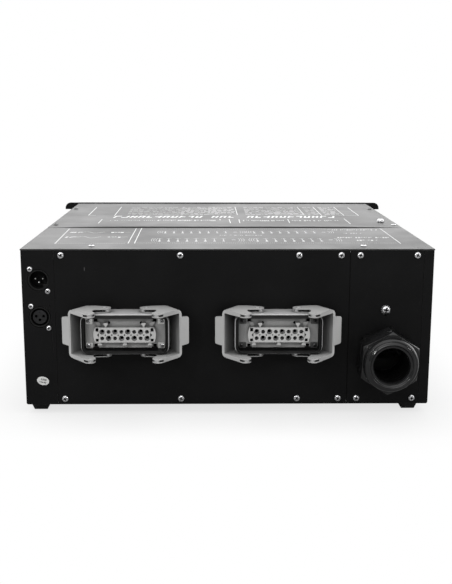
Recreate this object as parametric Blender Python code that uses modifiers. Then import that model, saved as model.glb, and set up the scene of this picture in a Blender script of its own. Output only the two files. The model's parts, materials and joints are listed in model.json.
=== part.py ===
"""Rack-mounted twelve-channel power distribution box, modelled as a set of separate parts.

Metres, +Z up. The connector side faces -Y, and the rack panel with its ears and controls faces +Y.
The parts are drawn about the chassis: x = 0 on its centre line, y = 0 at its mid depth and z = 0 at its
underside. The last step moves them all onto the finished origin: on the plane of the foot bases, midway
along the overall width and depth.
"""

import math

import bmesh
import bpy
from mathutils import Matrix, Vector

MM = 0.001
GAP = 0.3 * MM
BACK = Vector((0, -1, 0))
UP = Vector((0, 0, 1))

# Chassis
WIDTH = 440 * MM
DEPTH = 452 * MM
HEIGHT = 172 * MM
SHEET = 1.5 * MM
COVER = 1.6 * MM
COVER_OVERHANG = 0.5 * MM
REAR = -DEPTH / 2
FRONT = DEPTH / 2
TRAY_TOP = HEIGHT - COVER - GAP
BEND_RADIUS = 2 * MM
COVER_SEAM = REAR + 170.5 * MM
COVER_BOW = 1.3 * MM

# Rack panel
PANEL_WIDTH = 482.6 * MM
PANEL_HEIGHT = 177 * MM
PANEL_SHEET = 3 * MM
PANEL_CORNER = 8 * MM
PANEL_MIDDLE = 84.8 * MM
EAR_INSET = 0.1 * MM
EAR_TAB = 10.1 * MM
EAR_NOTCH_HEIGHT = 9 * MM
EAR_NOTCH_DEPTH = 12 * MM

# Rear panels, left to right: connector strip, middle panel, gland panel, edge strip
STRIP_EDGE = -185.6 * MM
GLAND_PANEL_EDGE = 130.4 * MM
EDGE_STRIP = 209.7 * MM
PANEL_SCREW_X = [x * MM for x in (-177.5, -51, 75.7, 120.6, 141, 202)]
TOP_SCREW_Z = 165.2 * MM
BOTTOM_SCREW_Z = 6.6 * MM
RAIL_DEPTH = 23 * MM
RAIL_HEIGHT = 9.5 * MM
SIDE_RAIL_WIDTH = 20 * MM

# Cover screws, measured from the connector side
COVER_SCREW_X = 214 * MM
COVER_SCREW_Y = [REAR + 195 * MM, REAR + 374 * MM]
EDGE_SCREW_X = 147 * MM
EDGE_SCREW_Y = REAR + 18.5 * MM
DOME_SCREW = (202.4 * MM, REAR + 223 * MM)

# Signal connectors, one above the other in the left strip
XLR_X = -202 * MM
XLR_INPUT_Z = 138.5 * MM
XLR_OUTPUT_Z = 98 * MM
XLR_HOLE_RADIUS = 12 * MM
XLR_SCREW_OFFSET = (9.5 * MM, 12 * MM)
XLR_PINS = [(-3.96 * MM, 0), (3.96 * MM, 0), (0, -3.96 * MM)]

# Sixteen-pole output connectors
MULTIPIN_X = {"a": -108.7 * MM, "b": 53 * MM}
MULTIPIN_Z = 85.5 * MM
HOUSING_LENGTH = 92.6 * MM
HOUSING_WIDTH = 43 * MM
HOUSING_RISE = 27.5 * MM
INSERT_LENGTH = 84.4 * MM
INSERT_WIDTH = 33.9 * MM
INSERT_FACE = 21 * MM
POLE_PITCH = 6.7 * MM
POLE_ROW = 3.6 * MM

# Locking levers, drawn about their pivot in the closed position
PIVOT_FROM_CENTRE = 22 * MM
PIVOT_RISE = 14.5 * MM
PIVOT_RADIUS = 2.5 * MM
LEVER_SWING = math.radians(32)
LEVER_OUTER = 26.1 * MM
LEVER_INNER = 21.9 * MM
LEVER_BRIDGE = (-27.3 * MM, -24.8 * MM)
LEVER_BRIDGE_REAR = -7 * MM
LEVER_BRIDGE_FRONT = -27.2 * MM
LEVER_TAB_END = -36 * MM
LEVER_TAB_HEIGHT = 31.8 * MM
LEVER_TAB_RISE = 2.5 * MM
HOOK_SLOT = 2.2 * MM

# Cable gland and earth screw
GLAND_X = 170.4 * MM
GLAND_Z = 55 * MM
GLAND_BORE = 18.4 * MM
HEX_ACROSS_CORNERS = 68.6 * MM
DOME_HEX_TURN = math.radians(27)
BODY_HEX_TURN = math.radians(20)
BODY_HEX = 65.5 * MM
LOCK_NUT_HEX = 62 * MM
EARTH = (170 * MM, 106 * MM)

# Feet, and the way from the chassis to the finished origin
FOOT_HEIGHT = 10.5 * MM
FOOT_BASE = 14.3 * MM
FOOT_TOP = 21.5 * MM
FOOT_PEG_RADIUS = 2 * MM
MIDDLE_SHIFT = 14.4 * MM
FOOT_X = (-207.2 * MM, 201.6 * MM)
FOOT_Y = (REAR + 22.5 * MM, FRONT - 30 * MM)

# Front panel controls
CHANNELS = 12
BREAKER_PITCH = 28 * MM
BREAKER_FIRST_X = -106 * MM
BREAKER_Z = 112 * MM
BREAKER_FACE = (17.6 * MM, 45 * MM)
BREAKER_BODY = (18 * MM, 72 * MM)
BREAKER_WELL = (8.8 * MM, 21 * MM, 13 * MM)
BREAKER_NOSE = 4.8 * MM
TOGGLE_WIDTH = 7.8 * MM
TOGGLE_HUB = 5 * MM
TOGGLE_REACH = 15 * MM
TOGGLE_TIP = 1.9 * MM
TOGGLE_ON = math.radians(24)
CONTROL_X = -170 * MM
DISPLAY_Z = 128 * MM
BUTTON_Z = 94 * MM
BUTTON_PITCH = 17 * MM
BUTTON_COUNT = 4
BUTTON_RADIUS = 4.2 * MM
BUTTON_RISE = 2.6 * MM
WINDOW_SIZE = (61 * MM, 23 * MM)
DISPLAY_FRAME = (72 * MM, 34 * MM)
CONTROL_BOARD_X = (-214 * MM, -130 * MM)
CONTROL_BOARD_Z = (66 * MM, 150 * MM)
CONTROL_BOARD_DEPTH = 21 * MM
BOARD_SHEET = 1.6 * MM

# Fan in the left wall
FAN_Y = 128 * MM
FAN_Z = 62 * MM
FAN_SIZE = 80 * MM
FAN_DEPTH = 25 * MM
FAN_HUB = 16 * MM
FAN_BLADES = 7
FAN_BLADE = (16 * MM, 2 * MM, 21 * MM)
FAN_BLADE_PITCH = math.radians(38)

# Power stage on the floor: heat sink, modules with fuses, ring chokes and the supply terminals
HEAT_SINK_HALF = 126 * MM
HEAT_SINK_Y = (-48 * MM, 92 * MM)
HEAT_SINK_BASE_Z = (44 * MM, 52 * MM)
FIN_SHEET = 2.4 * MM
FIN_PITCH = 18 * MM
MODULE_PITCH = 20.6 * MM
MODULE_SIZE = (16 * MM, 60 * MM, 15 * MM)
FUSE_SIZE = (8 * MM, 30 * MM, 9 * MM)
CHOKE_BOARD_X = (-150 * MM, 126 * MM)
CHOKE_BOARD_Y = (-170 * MM, -76 * MM)
CHOKE_BOARD_TOP = 8 * MM
CHOKE_PITCH = 46 * MM
CHOKE_FIRST = (-127 * MM, -146 * MM)
CHOKE_RADIUS = 20 * MM
CHOKE_BORE = 9 * MM
TERMINAL_X = (138 * MM, 206 * MM)
TERMINAL_Y = (-150 * MM, -118 * MM)
TERMINAL_TOP = 30 * MM
TERMINAL_POLES = 5
TERMINAL_PITCH = 13.5 * MM
TERMINAL_FIRST_X = 145 * MM


# ---------------------------------------------------------------- scene and materials


def clear_scene():
    for obj in list(bpy.data.objects):
        bpy.data.objects.remove(obj, do_unlink=True)


def new_collection(name):
    collection = bpy.data.collections.new(name)
    bpy.context.scene.collection.children.link(collection)
    return collection


clear_scene()
PARTS = new_collection("power_distribution_box")
HELPERS = new_collection("cutters")


def material(name, colour, roughness, metallic=0.0):
    made = bpy.data.materials.new(name)
    made.use_nodes = True
    shader = made.node_tree.nodes["Principled BSDF"]
    shader.inputs["Base Color"].default_value = (*colour, 1)
    shader.inputs["Roughness"].default_value = roughness
    shader.inputs["Metallic"].default_value = metallic
    return made


BLACK_PAINT = material("black_powder_coat", (0.012, 0.012, 0.013), 0.55)
GREY_POLYMER = material("grey_polymer", (0.40, 0.40, 0.39), 0.45)
GREY_CASTING = material("grey_casting", (0.16, 0.16, 0.165), 0.5, 0.3)
RUBBER = material("black_rubber", (0.010, 0.010, 0.010), 0.8)
ZINC = material("zinc_steel", (0.66, 0.66, 0.68), 0.28, 1.0)
BLACK_METAL = material("black_shell", (0.03, 0.03, 0.033), 0.4, 0.6)
BLACK_NYLON = material("black_nylon", (0.015, 0.015, 0.016), 0.22)
ALUMINIUM = material("aluminium", (0.72, 0.73, 0.74), 0.35, 1.0)
CIRCUIT_BOARD = material("circuit_board", (0.02, 0.12, 0.05), 0.5)
SCREEN = material("display", (0.02, 0.05, 0.06), 0.15)


# ---------------------------------------------------------------- flat outlines


def arc(centre, radius, start, end, steps):
    """Points on an arc, in degrees, both ends included."""
    angles = [math.radians(start + (end - start) * i / steps) for i in range(steps + 1)]
    return [(centre[0] + radius * math.cos(a), centre[1] + radius * math.sin(a)) for a in angles]


def circle(centre, radius, steps=20):
    return arc(centre, radius, 0, 360, steps)[:-1]


def rectangle(low, high):
    return [low, (high[0], low[1]), high, (low[0], high[1])]


def centred(centre, size):
    """Both corners of a rectangle about its centre."""
    x, y = centre
    width, height = size
    return (x - width / 2, y - height / 2), (x + width / 2, y + height / 2)


def rounded(centre, width, height, radius, steps=4):
    """A rectangle with rounded corners."""
    x = width / 2 - radius
    y = height / 2 - radius
    points = []
    for sx, sy, start in ((1, 1, 0), (-1, 1, 90), (-1, -1, 180), (1, -1, 270)):
        corner = (centre[0] + sx * x, centre[1] + sy * y)
        points += arc(corner, radius, start, start + 90, steps)
    return points


def hexagon(centre, across_corners, turn):
    degrees = math.degrees(turn)
    return arc(centre, across_corners / 2, degrees, degrees + 300, 5)


# ---------------------------------------------------------------- solids

AXES = {
    "z": Matrix.Identity(4),
    "y": Matrix.Rotation(math.radians(90), 4, "X"),
    "x": Matrix(((0, 0, 1, 0), (1, 0, 0, 0), (0, 1, 0, 0), (0, 0, 0, 1))),
}


def link(name, mesh, collection=HELPERS):
    obj = bpy.data.objects.new(name, mesh)
    collection.objects.link(obj)
    if collection is HELPERS:
        obj.hide_render = True
        obj.display_type = "WIRE"
    return obj


def evaluated_mesh(obj):
    bpy.context.view_layer.update()
    graph = bpy.context.evaluated_depsgraph_get()
    return bpy.data.meshes.new_from_object(obj.evaluated_get(graph))


def baked(obj):
    """Replaces the object's mesh and modifiers with the shape that they give."""
    mesh = evaluated_mesh(obj)
    obj.modifiers.clear()
    obj.data = mesh
    return obj


def slab(name, loops, low, high, axis="z"):
    """A flat outline, with any holes, extruded from low to high along an axis.

    The outline's two coordinates are (x, y) for axis z, (x, z) for axis y and (y, z) for axis x.
    """
    outline = bpy.data.curves.new(name, "CURVE")
    outline.dimensions = "2D"
    outline.fill_mode = "BOTH"
    outline.extrude = (high - low) / 2
    for loop in loops:
        spline = outline.splines.new("POLY")
        spline.points.add(len(loop) - 1)
        for point, (u, v) in zip(spline.points, loop):
            point.co = (u, v, 0, 1)
        spline.use_cyclic_u = True
    curve = link(name, outline)
    mesh = evaluated_mesh(curve)
    bpy.data.objects.remove(curve)
    shape = bmesh.new()
    shape.from_mesh(mesh)
    bmesh.ops.remove_doubles(shape, verts=shape.verts, dist=1e-6)
    shape.to_mesh(mesh)
    shape.free()
    middle = Vector((0, 0, 0))
    middle["xyz".index(axis)] = (low + high) / 2
    mesh.transform(Matrix.Translation(middle) @ AXES[axis])
    return link(name, mesh)


def block(name, low, high):
    """A box between two corners."""
    shape = bmesh.new()
    size = Vector(high) - Vector(low)
    middle = (Vector(high) + Vector(low)) / 2
    bmesh.ops.create_cube(shape, size=1, matrix=Matrix.Translation(middle) @ Matrix.Diagonal((*size, 1)))
    mesh = bpy.data.meshes.new(name)
    shape.to_mesh(mesh)
    shape.free()
    return link(name, mesh)


def turned(name, profile, centre, towards, steps=24):
    """A profile of (radius, height) points from its top down its outer side, turned about an axis.

    Height zero sits at the centre and the top points towards the given direction.
    """
    mesh = bpy.data.meshes.new(name)
    points = [(radius, 0, height) for radius, height in profile]
    closed = profile[0][0] > 0
    count = len(points)
    edges = [(i, (i + 1) % count) for i in range(count if closed else count - 1)]
    mesh.from_pydata(points, edges, [])
    obj = link(name, mesh)
    screw = obj.modifiers.new("turn", "SCREW")
    screw.axis = "Z"
    screw.steps = steps
    screw.render_steps = steps
    screw.use_merge_vertices = True
    screw.merge_threshold = 0.00001
    baked(obj)
    aim = UP.rotation_difference(towards).to_matrix().to_4x4()
    obj.data.transform(Matrix.Translation(centre) @ aim)
    return obj


def merged(name, objects):
    """Several helper solids in one object, for one Boolean."""
    shape = bmesh.new()
    for obj in objects:
        shape.from_mesh(obj.data)
        bpy.data.objects.remove(obj)
    mesh = bpy.data.meshes.new(name)
    shape.to_mesh(mesh)
    shape.free()
    return link(name, mesh)


def boolean(obj, other, operation):
    modifier = obj.modifiers.new(operation.lower(), "BOOLEAN")
    modifier.operation = operation
    modifier.solver = "EXACT"
    modifier.object = other
    return obj


def joined(obj, *others):
    for other in others:
        boolean(obj, other, "UNION")
    return obj


def cut(obj, *others):
    for other in others:
        boolean(obj, other, "DIFFERENCE")
    return obj


def move_onto_origin():
    """Moves the drawn parts, and the helpers that cut them, onto the finished origin."""
    for obj in bpy.data.objects:
        obj.location += Vector((0, MIDDLE_SHIFT, FOOT_HEIGHT))


def smooth(mesh, angle=35):
    mesh.shade_smooth()
    mesh.set_sharp_from_angle(angle=math.radians(angle))


def part(obj, name, finish, origin=None):
    """Turns a helper into a named part with a material, its origin on the given point."""
    HELPERS.objects.unlink(obj)
    PARTS.objects.link(obj)
    obj.hide_render = False
    obj.display_type = "TEXTURED"
    obj.name = name
    obj.data.name = name
    obj.data.materials.clear()
    obj.data.materials.append(finish)
    smooth(obj.data)
    if origin is not None:
        obj.data.transform(Matrix.Translation(-Vector(origin)))
        obj.location = origin
    return obj


# ---------------------------------------------------------------- fasteners

HEAD_STEPS = 10


def pan_screws(name, places, towards, head_radius, head_height, shank_radius, shank_length):
    """Screws whose heads sit with their undersides on the given points."""
    profile = [
        (0, head_height),
        (head_radius * 0.66, head_height * 0.88),
        (head_radius, head_height * 0.3),
        (head_radius, 0),
        (shank_radius, 0),
        (shank_radius, -shank_length),
        (0, -shank_length),
    ]
    return merged(name, [turned(name, profile, place, towards, HEAD_STEPS) for place in places])


# ---------------------------------------------------------------- enclosure


def build_chassis():
    """Folded tray: floor, two side walls and the two strips of the connector side."""
    half = WIDTH / 2
    inner = half - SHEET
    outer = [(half, TRAY_TOP)] + [(inner, TRAY_TOP), (inner, SHEET)]
    channel = (
        outer
        + [(-inner, SHEET), (-inner, TRAY_TOP), (-half, TRAY_TOP)]
        + arc((-half + BEND_RADIUS, BEND_RADIUS), BEND_RADIUS, 180, 270, 4)
        + arc((half - BEND_RADIUS, BEND_RADIUS), BEND_RADIUS, 270, 360, 4)
    )
    tray = slab("tray", [channel], REAR, FRONT, "y")
    edge_low = SHEET / 2
    sink = 0.4 * MM
    strip_holes = [
        circle((XLR_X, z), XLR_HOLE_RADIUS, 24) for z in (XLR_INPUT_Z, XLR_OUTPUT_Z)
    ] + [circle((x, z), 1.8 * MM, 8) for x, z in xlr_screw_points()]
    left = slab(
        "left_strip",
        [rectangle((-half + sink, edge_low), (STRIP_EDGE, TRAY_TOP))] + strip_holes,
        REAR,
        REAR + SHEET,
        "y",
    )
    edge = rectangle((EDGE_STRIP, edge_low), (half - sink, TRAY_TOP))
    right = slab("edge_strip", [edge], REAR, REAR + SHEET, "y")
    joined(tray, left, right)
    cut(tray, fan_grille(), exhaust_slots(), foot_holes())
    return part(tray, "chassis_tray", BLACK_PAINT)


def fan_grille():
    """Ring-shaped slots, split by four ribs, in the left wall in front of the fan."""
    cutters = []
    x = -WIDTH / 2
    for ring in range(3):
        inner_radius = (13 + ring * 9) * MM
        outer_radius = inner_radius + 5.5 * MM
        rib = math.degrees(2.2 * MM / inner_radius)
        for quarter in range(4):
            start = 45 + 90 * quarter + rib
            end = 135 + 90 * quarter - rib
            steps = 2 + ring
            loop = arc((FAN_Y, FAN_Z), outer_radius, start, end, steps)
            loop += arc((FAN_Y, FAN_Z), inner_radius, end, start, steps)
            cutters.append(slab("grille", [loop], x - SHEET, x + 2 * SHEET, "x"))
    return merged("fan_grille", cutters)


def exhaust_slots():
    """Upright slots in the right wall where the warm air leaves."""
    x = WIDTH / 2
    cutters = []
    for i in range(10):
        y = -20 * MM + i * 18 * MM
        loop = rounded((y, 70 * MM), 5 * MM, 60 * MM, 1.6 * MM, 1)
        cutters.append(slab("slot", [loop], x - 2 * SHEET, x + SHEET, "x"))
    return merged("exhaust_slots", cutters)


def foot_points():
    return [(x, y) for y in FOOT_Y for x in FOOT_X]


def foot_holes():
    loops = [circle(point, FOOT_PEG_RADIUS + GAP, 10) for point in foot_points()]
    return merged("foot_holes", [slab("hole", [loop], -SHEET, 2 * SHEET) for loop in loops])


def build_rear_panels():
    """The middle panel with the two connector cut-outs, and the narrow panel of the cable gland."""
    low = SHEET + GAP
    high = TRAY_TOP
    rows = (TOP_SCREW_Z, BOTTOM_SCREW_Z)
    middle = [rectangle((STRIP_EDGE + GAP, low), (GLAND_PANEL_EDGE - GAP, high))]
    middle += [circle((x, z), 2.3 * MM, 10) for z in rows for x in PANEL_SCREW_X[:4]]
    middle += [rounded((x, MULTIPIN_Z), 86 * MM, 36 * MM, 3 * MM) for x in MULTIPIN_X.values()]
    part(slab("middle", middle, REAR, REAR + SHEET, "y"), "rear_panel_center", BLACK_PAINT)
    gland = [rectangle((GLAND_PANEL_EDGE + GAP, low), (EDGE_STRIP - GAP, high))]
    gland += [circle((x, z), 2.3 * MM, 10) for z in rows for x in PANEL_SCREW_X[4:]]
    gland += [circle((GLAND_X, GLAND_Z), 25.3 * MM, 32), circle(EARTH, 3.4 * MM, 12)]
    part(slab("gland", gland, REAR, REAR + SHEET, "y"), "rear_panel_gland", BLACK_PAINT)


def cover_holes(points, name):
    loops = [circle(point, 2.3 * MM, 10) for point in points]
    low = HEIGHT - 3 * COVER
    high = HEIGHT + 3 * COVER
    return merged(name, [slab("hole", [loop], low, high) for loop in loops])


def build_covers():
    """Two flat lids. The long one bows up slightly along its free edge at the seam."""
    half = WIDTH / 2 + COVER_OVERHANG
    low = HEIGHT - COVER
    rear = slab(
        "rear_lid", [rectangle((-half, REAR - COVER_OVERHANG), (half, COVER_SEAM - GAP))], low, HEIGHT
    )
    cut(rear, cover_holes([(x, EDGE_SCREW_Y) for x in (-EDGE_SCREW_X, EDGE_SCREW_X)], "rear_lid_holes"))
    part(rear, "top_cover_rear", BLACK_PAINT)
    columns = 12
    rows = 6
    bow_length = 70 * MM
    shape = bmesh.new()
    bmesh.ops.create_grid(shape, x_segments=columns, y_segments=rows, size=1)
    for vert in shape.verts:
        across = vert.co.x
        along = (vert.co.y + 1) / 2
        y = COVER_SEAM + GAP + (FRONT - COVER_SEAM - GAP) * along**2
        lift = COVER_BOW * (1 - abs(across) ** 5) * math.exp(-(((y - COVER_SEAM) / bow_length) ** 2))
        vert.co = (across * half, y, low + lift)
    mesh = bpy.data.meshes.new("front_lid")
    shape.to_mesh(mesh)
    shape.free()
    front = link("front_lid", mesh)
    thickness = front.modifiers.new("thickness", "SOLIDIFY")
    thickness.thickness = COVER
    thickness.offset = 1
    screw_points = [(x, y) for x in (-COVER_SCREW_X, COVER_SCREW_X) for y in COVER_SCREW_Y]
    cut(front, cover_holes(screw_points + [DOME_SCREW], "front_lid_holes"))
    part(front, "top_cover_front", BLACK_PAINT)


def rail_screws(name, z):
    places = [(x, REAR - GAP, z) for x in PANEL_SCREW_X]
    return pan_screws(name, places, BACK, 3.5 * MM, 2.3 * MM, 1.9 * MM, 4 * MM)


def build_rails():
    """Tapped rails behind the panel edges and under the lids, each with the screws that it holds."""
    half = WIDTH / 2 - SHEET - GAP
    near = REAR + SHEET + GAP
    far = near + RAIL_DEPTH
    top = TRAY_TOP - GAP
    rail = block("rear_top_rail", (-half, near, top - RAIL_HEIGHT), (half, far, top))
    edge_places = [(x, EDGE_SCREW_Y, HEIGHT + GAP) for x in (-EDGE_SCREW_X, EDGE_SCREW_X)]
    edge_screws = pan_screws("edge_screws", edge_places, UP, 3.2 * MM, 1.3 * MM, 1.9 * MM, 4 * MM)
    joined(rail, rail_screws("top_screws", TOP_SCREW_Z), edge_screws)
    part(rail, "rear_top_rail_with_screws", ZINC)
    floor = SHEET + GAP
    bottom = block("rear_bottom_rail", (-half, near, floor), (half, near + 10 * MM, floor + RAIL_HEIGHT))
    joined(bottom, rail_screws("bottom_screws", BOTTOM_SCREW_Z))
    part(bottom, "rear_bottom_rail_with_screws", ZINC)
    for side, name in ((-1, "left"), (1, "right")):
        inner = side * (half - SIDE_RAIL_WIDTH)
        xs = sorted((inner, side * half))
        bar = block("side_rail", (xs[0], far + GAP, top - RAIL_HEIGHT), (xs[1], FRONT - 2 * MM, top))
        places = [(side * COVER_SCREW_X, y, HEIGHT + GAP) for y in COVER_SCREW_Y]
        joined(bar, pan_screws("lid_screws", places, UP, 3.2 * MM, 1.3 * MM, 1.9 * MM, 4 * MM))
        if side > 0:
            place = (*DOME_SCREW, HEIGHT + 1.6 * MM)
            joined(bar, pan_screws("dome_screw", [place], UP, 4.2 * MM, 3.2 * MM, 1.9 * MM, 5 * MM))
        part(bar, f"side_rail_{name}_with_screws", ZINC)


def ear_outline(side):
    """One ear with rounded corners and an open-ended mounting notch near each of them."""
    end = PANEL_WIDTH / 2
    root = WIDTH / 2 - MM
    tall = PANEL_HEIGHT / 2 - EAR_INSET
    upper = tall - EAR_TAB
    lower = upper - EAR_NOTCH_HEIGHT
    radius = EAR_NOTCH_HEIGHT / 2
    notch_x = end - EAR_NOTCH_DEPTH + radius
    corner = arc((end - PANEL_CORNER, tall - PANEL_CORNER), PANEL_CORNER, 90, 0, 5)
    notch = arc((notch_x, upper - radius), radius, 90, 270, 6)
    top_half = [(root, tall)] + corner + [(end, upper)] + notch + [(end, lower)]
    bottom_half = [(x, -z) for x, z in reversed(top_half)]
    return [(side * x, PANEL_MIDDLE + z) for x, z in top_half + bottom_half]


def breaker_x(channel):
    return BREAKER_FIRST_X + channel * BREAKER_PITCH


def button_x(index):
    return CONTROL_X + (index - (BUTTON_COUNT - 1) / 2) * BUTTON_PITCH


def build_front_panel():
    """Rack panel with ears, and openings for the breakers, the air, the display and the buttons."""
    back = FRONT + GAP
    front = back + PANEL_SHEET
    sheet = rectangle(*centred((0, PANEL_MIDDLE), (WIDTH + 2 * MM, PANEL_HEIGHT)))
    panel = slab("front_panel", [sheet], back, front, "y")
    outlines = [ear_outline(side) for side in (-1, 1)]
    ears = [slab("ear", [outline], back + EAR_INSET, front - EAR_INSET, "y") for outline in outlines]
    clearance = 0.8 * MM
    loops = [rectangle(*centred((CONTROL_X, DISPLAY_Z), (62 * MM, 24 * MM)))]
    loops += [circle((button_x(i), BUTTON_Z), 4.6 * MM, 12) for i in range(BUTTON_COUNT)]
    for channel in range(CHANNELS):
        x = breaker_x(channel)
        loops.append(rectangle(*centred((x, BREAKER_Z), [side + clearance for side in BREAKER_FACE])))
        loops += [rectangle(*centred((x, z), (20 * MM, 5 * MM))) for z in (26 * MM, 40 * MM)]
    openings = [slab("opening", [loop], back - MM, front + MM, "y") for loop in loops]
    cut(joined(panel, *ears), merged("panel_openings", openings))
    part(panel, "front_rack_panel", BLACK_PAINT)


def build_feet():
    """Square rubber blocks that widen upwards, each with a peg pushed up through the chassis floor."""
    names = ("foot_rear_left", "foot_rear_right", "foot_front_left", "foot_front_right")
    half = FOOT_BASE / 2
    for name, (x, y) in zip(names, foot_points()):
        foot = block(name, (x - half, y - half, -FOOT_HEIGHT), (x + half, y + half, -GAP))
        for vert in foot.data.vertices:
            if vert.co.z > -FOOT_HEIGHT / 2:
                vert.co.x = x + (vert.co.x - x) * FOOT_TOP / FOOT_BASE
                vert.co.y = y + (vert.co.y - y) * FOOT_TOP / FOOT_BASE
        profile = [(0, 4 * MM), (FOOT_PEG_RADIUS, 4 * MM), (FOOT_PEG_RADIUS, -2 * MM), (0, -2 * MM)]
        peg = turned("peg", profile, (x, y, 0), UP, 18)
        part(joined(foot, peg), name, RUBBER)


# ---------------------------------------------------------------- signal connectors


def xlr_screw_points():
    dx, dz = XLR_SCREW_OFFSET
    return [(XLR_X + s * dx, z - s * dz) for z in (XLR_INPUT_Z, XLR_OUTPUT_Z) for s in (-1, 1)]


def xlr_shell(name, z, collar, bore):
    """Barrel and mounting flange of a connector fixed from inside."""
    behind = REAR + SHEET + GAP
    flange_loops = [rounded((XLR_X, z), 26 * MM, 31 * MM, 3 * MM, 2), circle((XLR_X, z), bore, 20)]
    flange_loops += [circle(p, 1.8 * MM, 8) for p in xlr_screw_points() if abs(p[1] - z) < 13 * MM]
    flange = slab("flange", flange_loops, behind, behind + 2 * MM, "y")
    centre = (XLR_X, REAR, z)
    depth = 20 * MM
    profile = [(collar - 0.8 * MM, 0), (collar, -0.7 * MM), (collar, -depth), (bore, -depth)]
    profile += [(bore, -0.6 * MM), (bore + 0.5 * MM, 0)]
    barrel = turned("barrel", profile, centre, BACK, 20)
    return part(joined(barrel, flange), name, BLACK_METAL)


def build_signal_connectors():
    bore = 9.5 * MM
    xlr_shell("xlr_input_shell", XLR_INPUT_Z, 11.3 * MM, bore)
    xlr_shell("xlr_output_shell", XLR_OUTPUT_Z, 11.3 * MM, bore)
    base_radius = bore - 0.25 * MM
    base = turned(
        "base",
        [(0, 0), (base_radius, 0), (base_radius, -5 * MM), (0, -5 * MM)],
        (XLR_X, REAR + 13 * MM, XLR_INPUT_Z),
        BACK,
    )
    pins = []
    for dx, dz in XLR_PINS:
        profile = [(0, 9.5 * MM), (0.7 * MM, 9.3 * MM), (1.2 * MM, 8.4 * MM)]
        profile += [(1.2 * MM, -8 * MM), (0, -8 * MM)]
        pins.append(turned("pin", profile, (XLR_X + dx, REAR + 13 * MM, XLR_INPUT_Z + dz), BACK, 8))
    part(joined(base, merged("pins", pins)), "xlr_input_pin_insert", ZINC)
    face_radius = 7.7 * MM
    profile = [(0, 0), (face_radius - 0.4 * MM, 0), (face_radius, -0.4 * MM), (face_radius, -12 * MM)]
    profile += [(base_radius, -12 * MM), (base_radius, -18 * MM), (0, -18 * MM)]
    socket = turned("socket", profile, (XLR_X, REAR + 0.5 * MM, XLR_OUTPUT_Z), BACK)
    loops = [circle((XLR_X + dx, XLR_OUTPUT_Z + dz), 1.5 * MM, 8) for dx, dz in XLR_PINS]
    holes = [slab("hole", [loop], REAR - MM, REAR + 9 * MM, "y") for loop in loops]
    part(cut(socket, merged("socket_holes", holes)), "xlr_output_socket_insert", BLACK_NYLON)
    build_xlr_screws()


def build_xlr_screws():
    """The tapped plate behind both signal connectors, with their four screws."""
    behind = REAR + SHEET + 2 * GAP + 2 * MM
    middle = (XLR_X, (XLR_INPUT_Z + XLR_OUTPUT_Z) / 2)
    loops = [rounded(middle, 26 * MM, 72 * MM, 2 * MM, 2)]
    loops += [circle((XLR_X, z), 11.8 * MM, 16) for z in (XLR_INPUT_Z, XLR_OUTPUT_Z)]
    plate = slab("plate", loops, behind, behind + 2 * MM, "y")
    places = [(x, REAR - GAP, z) for x, z in xlr_screw_points()]
    joined(plate, pan_screws("xlr_screws", places, BACK, 2.9 * MM, 1.9 * MM, 1.4 * MM, 5.5 * MM))
    part(plate, "xlr_nut_plate_with_screws", ZINC)


# ---------------------------------------------------------------- multipin connectors


def build_housing(key, x):
    """Surface-mounted shell with a shelf for the insert and four pivot studs for the levers."""
    back = REAR - GAP
    rim = REAR - HOUSING_RISE
    shelf = REAR - INSERT_FACE + 3 * MM + GAP
    centre = (x, MULTIPIN_Z)
    mouth = rounded(centre, INSERT_LENGTH + MM, INSERT_WIDTH + MM, 3 * MM, 2)
    outline = rounded(centre, HOUSING_LENGTH, HOUSING_WIDTH, 8 * MM, 4)
    shell = slab("shell", [outline], rim, back, "y")
    edge = shell.modifiers.new("edge", "BEVEL")
    edge.width = 0.8 * MM
    edge.segments = 1
    edge.limit_method = "ANGLE"
    edge.angle_limit = math.radians(50)
    upper = slab("mouth", [mouth], rim - MM, shelf, "y")
    lower = slab("throat", [rounded(centre, 78 * MM, 30.5 * MM, 3 * MM, 2)], shelf - MM, back + MM, "y")
    studs = []
    for side in (-1, 1):
        for end in (-1, 1):
            start = (x + end * PIVOT_FROM_CENTRE, REAR - PIVOT_RISE, MULTIPIN_Z + side * 20.5 * MM)
            reach = LEVER_OUTER + 0.4 * MM - 20.5 * MM
            profile = [(0, reach), (PIVOT_RADIUS - 0.4 * MM, reach), (PIVOT_RADIUS, reach - 0.4 * MM)]
            profile += [(PIVOT_RADIUS, 0), (0, 0)]
            studs.append(turned("stud", profile, start, side * UP, 10))
    joined(shell, merged("studs", studs))
    cut(shell, upper, lower)
    part(shell, f"output_{key}_housing", GREY_CASTING)


def build_gasket(key, x):
    """Rubber ring on the rim of the housing."""
    rim = REAR - HOUSING_RISE - GAP
    centre = (x, MULTIPIN_Z)
    loops = [
        rounded(centre, HOUSING_LENGTH - 1.6 * MM, HOUSING_WIDTH - 1.6 * MM, 7.2 * MM, 4),
        rounded(centre, INSERT_LENGTH + 0.8 * MM, INSERT_WIDTH + 0.8 * MM, 3 * MM, 2),
    ]
    ring = slab("gasket", loops, rim - 2 * MM, rim, "y")
    edge = ring.modifiers.new("edge", "BEVEL")
    edge.width = 0.8 * MM
    edge.segments = 1
    edge.limit_method = "ANGLE"
    edge.angle_limit = math.radians(50)
    part(ring, f"output_{key}_gasket", RUBBER)


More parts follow.
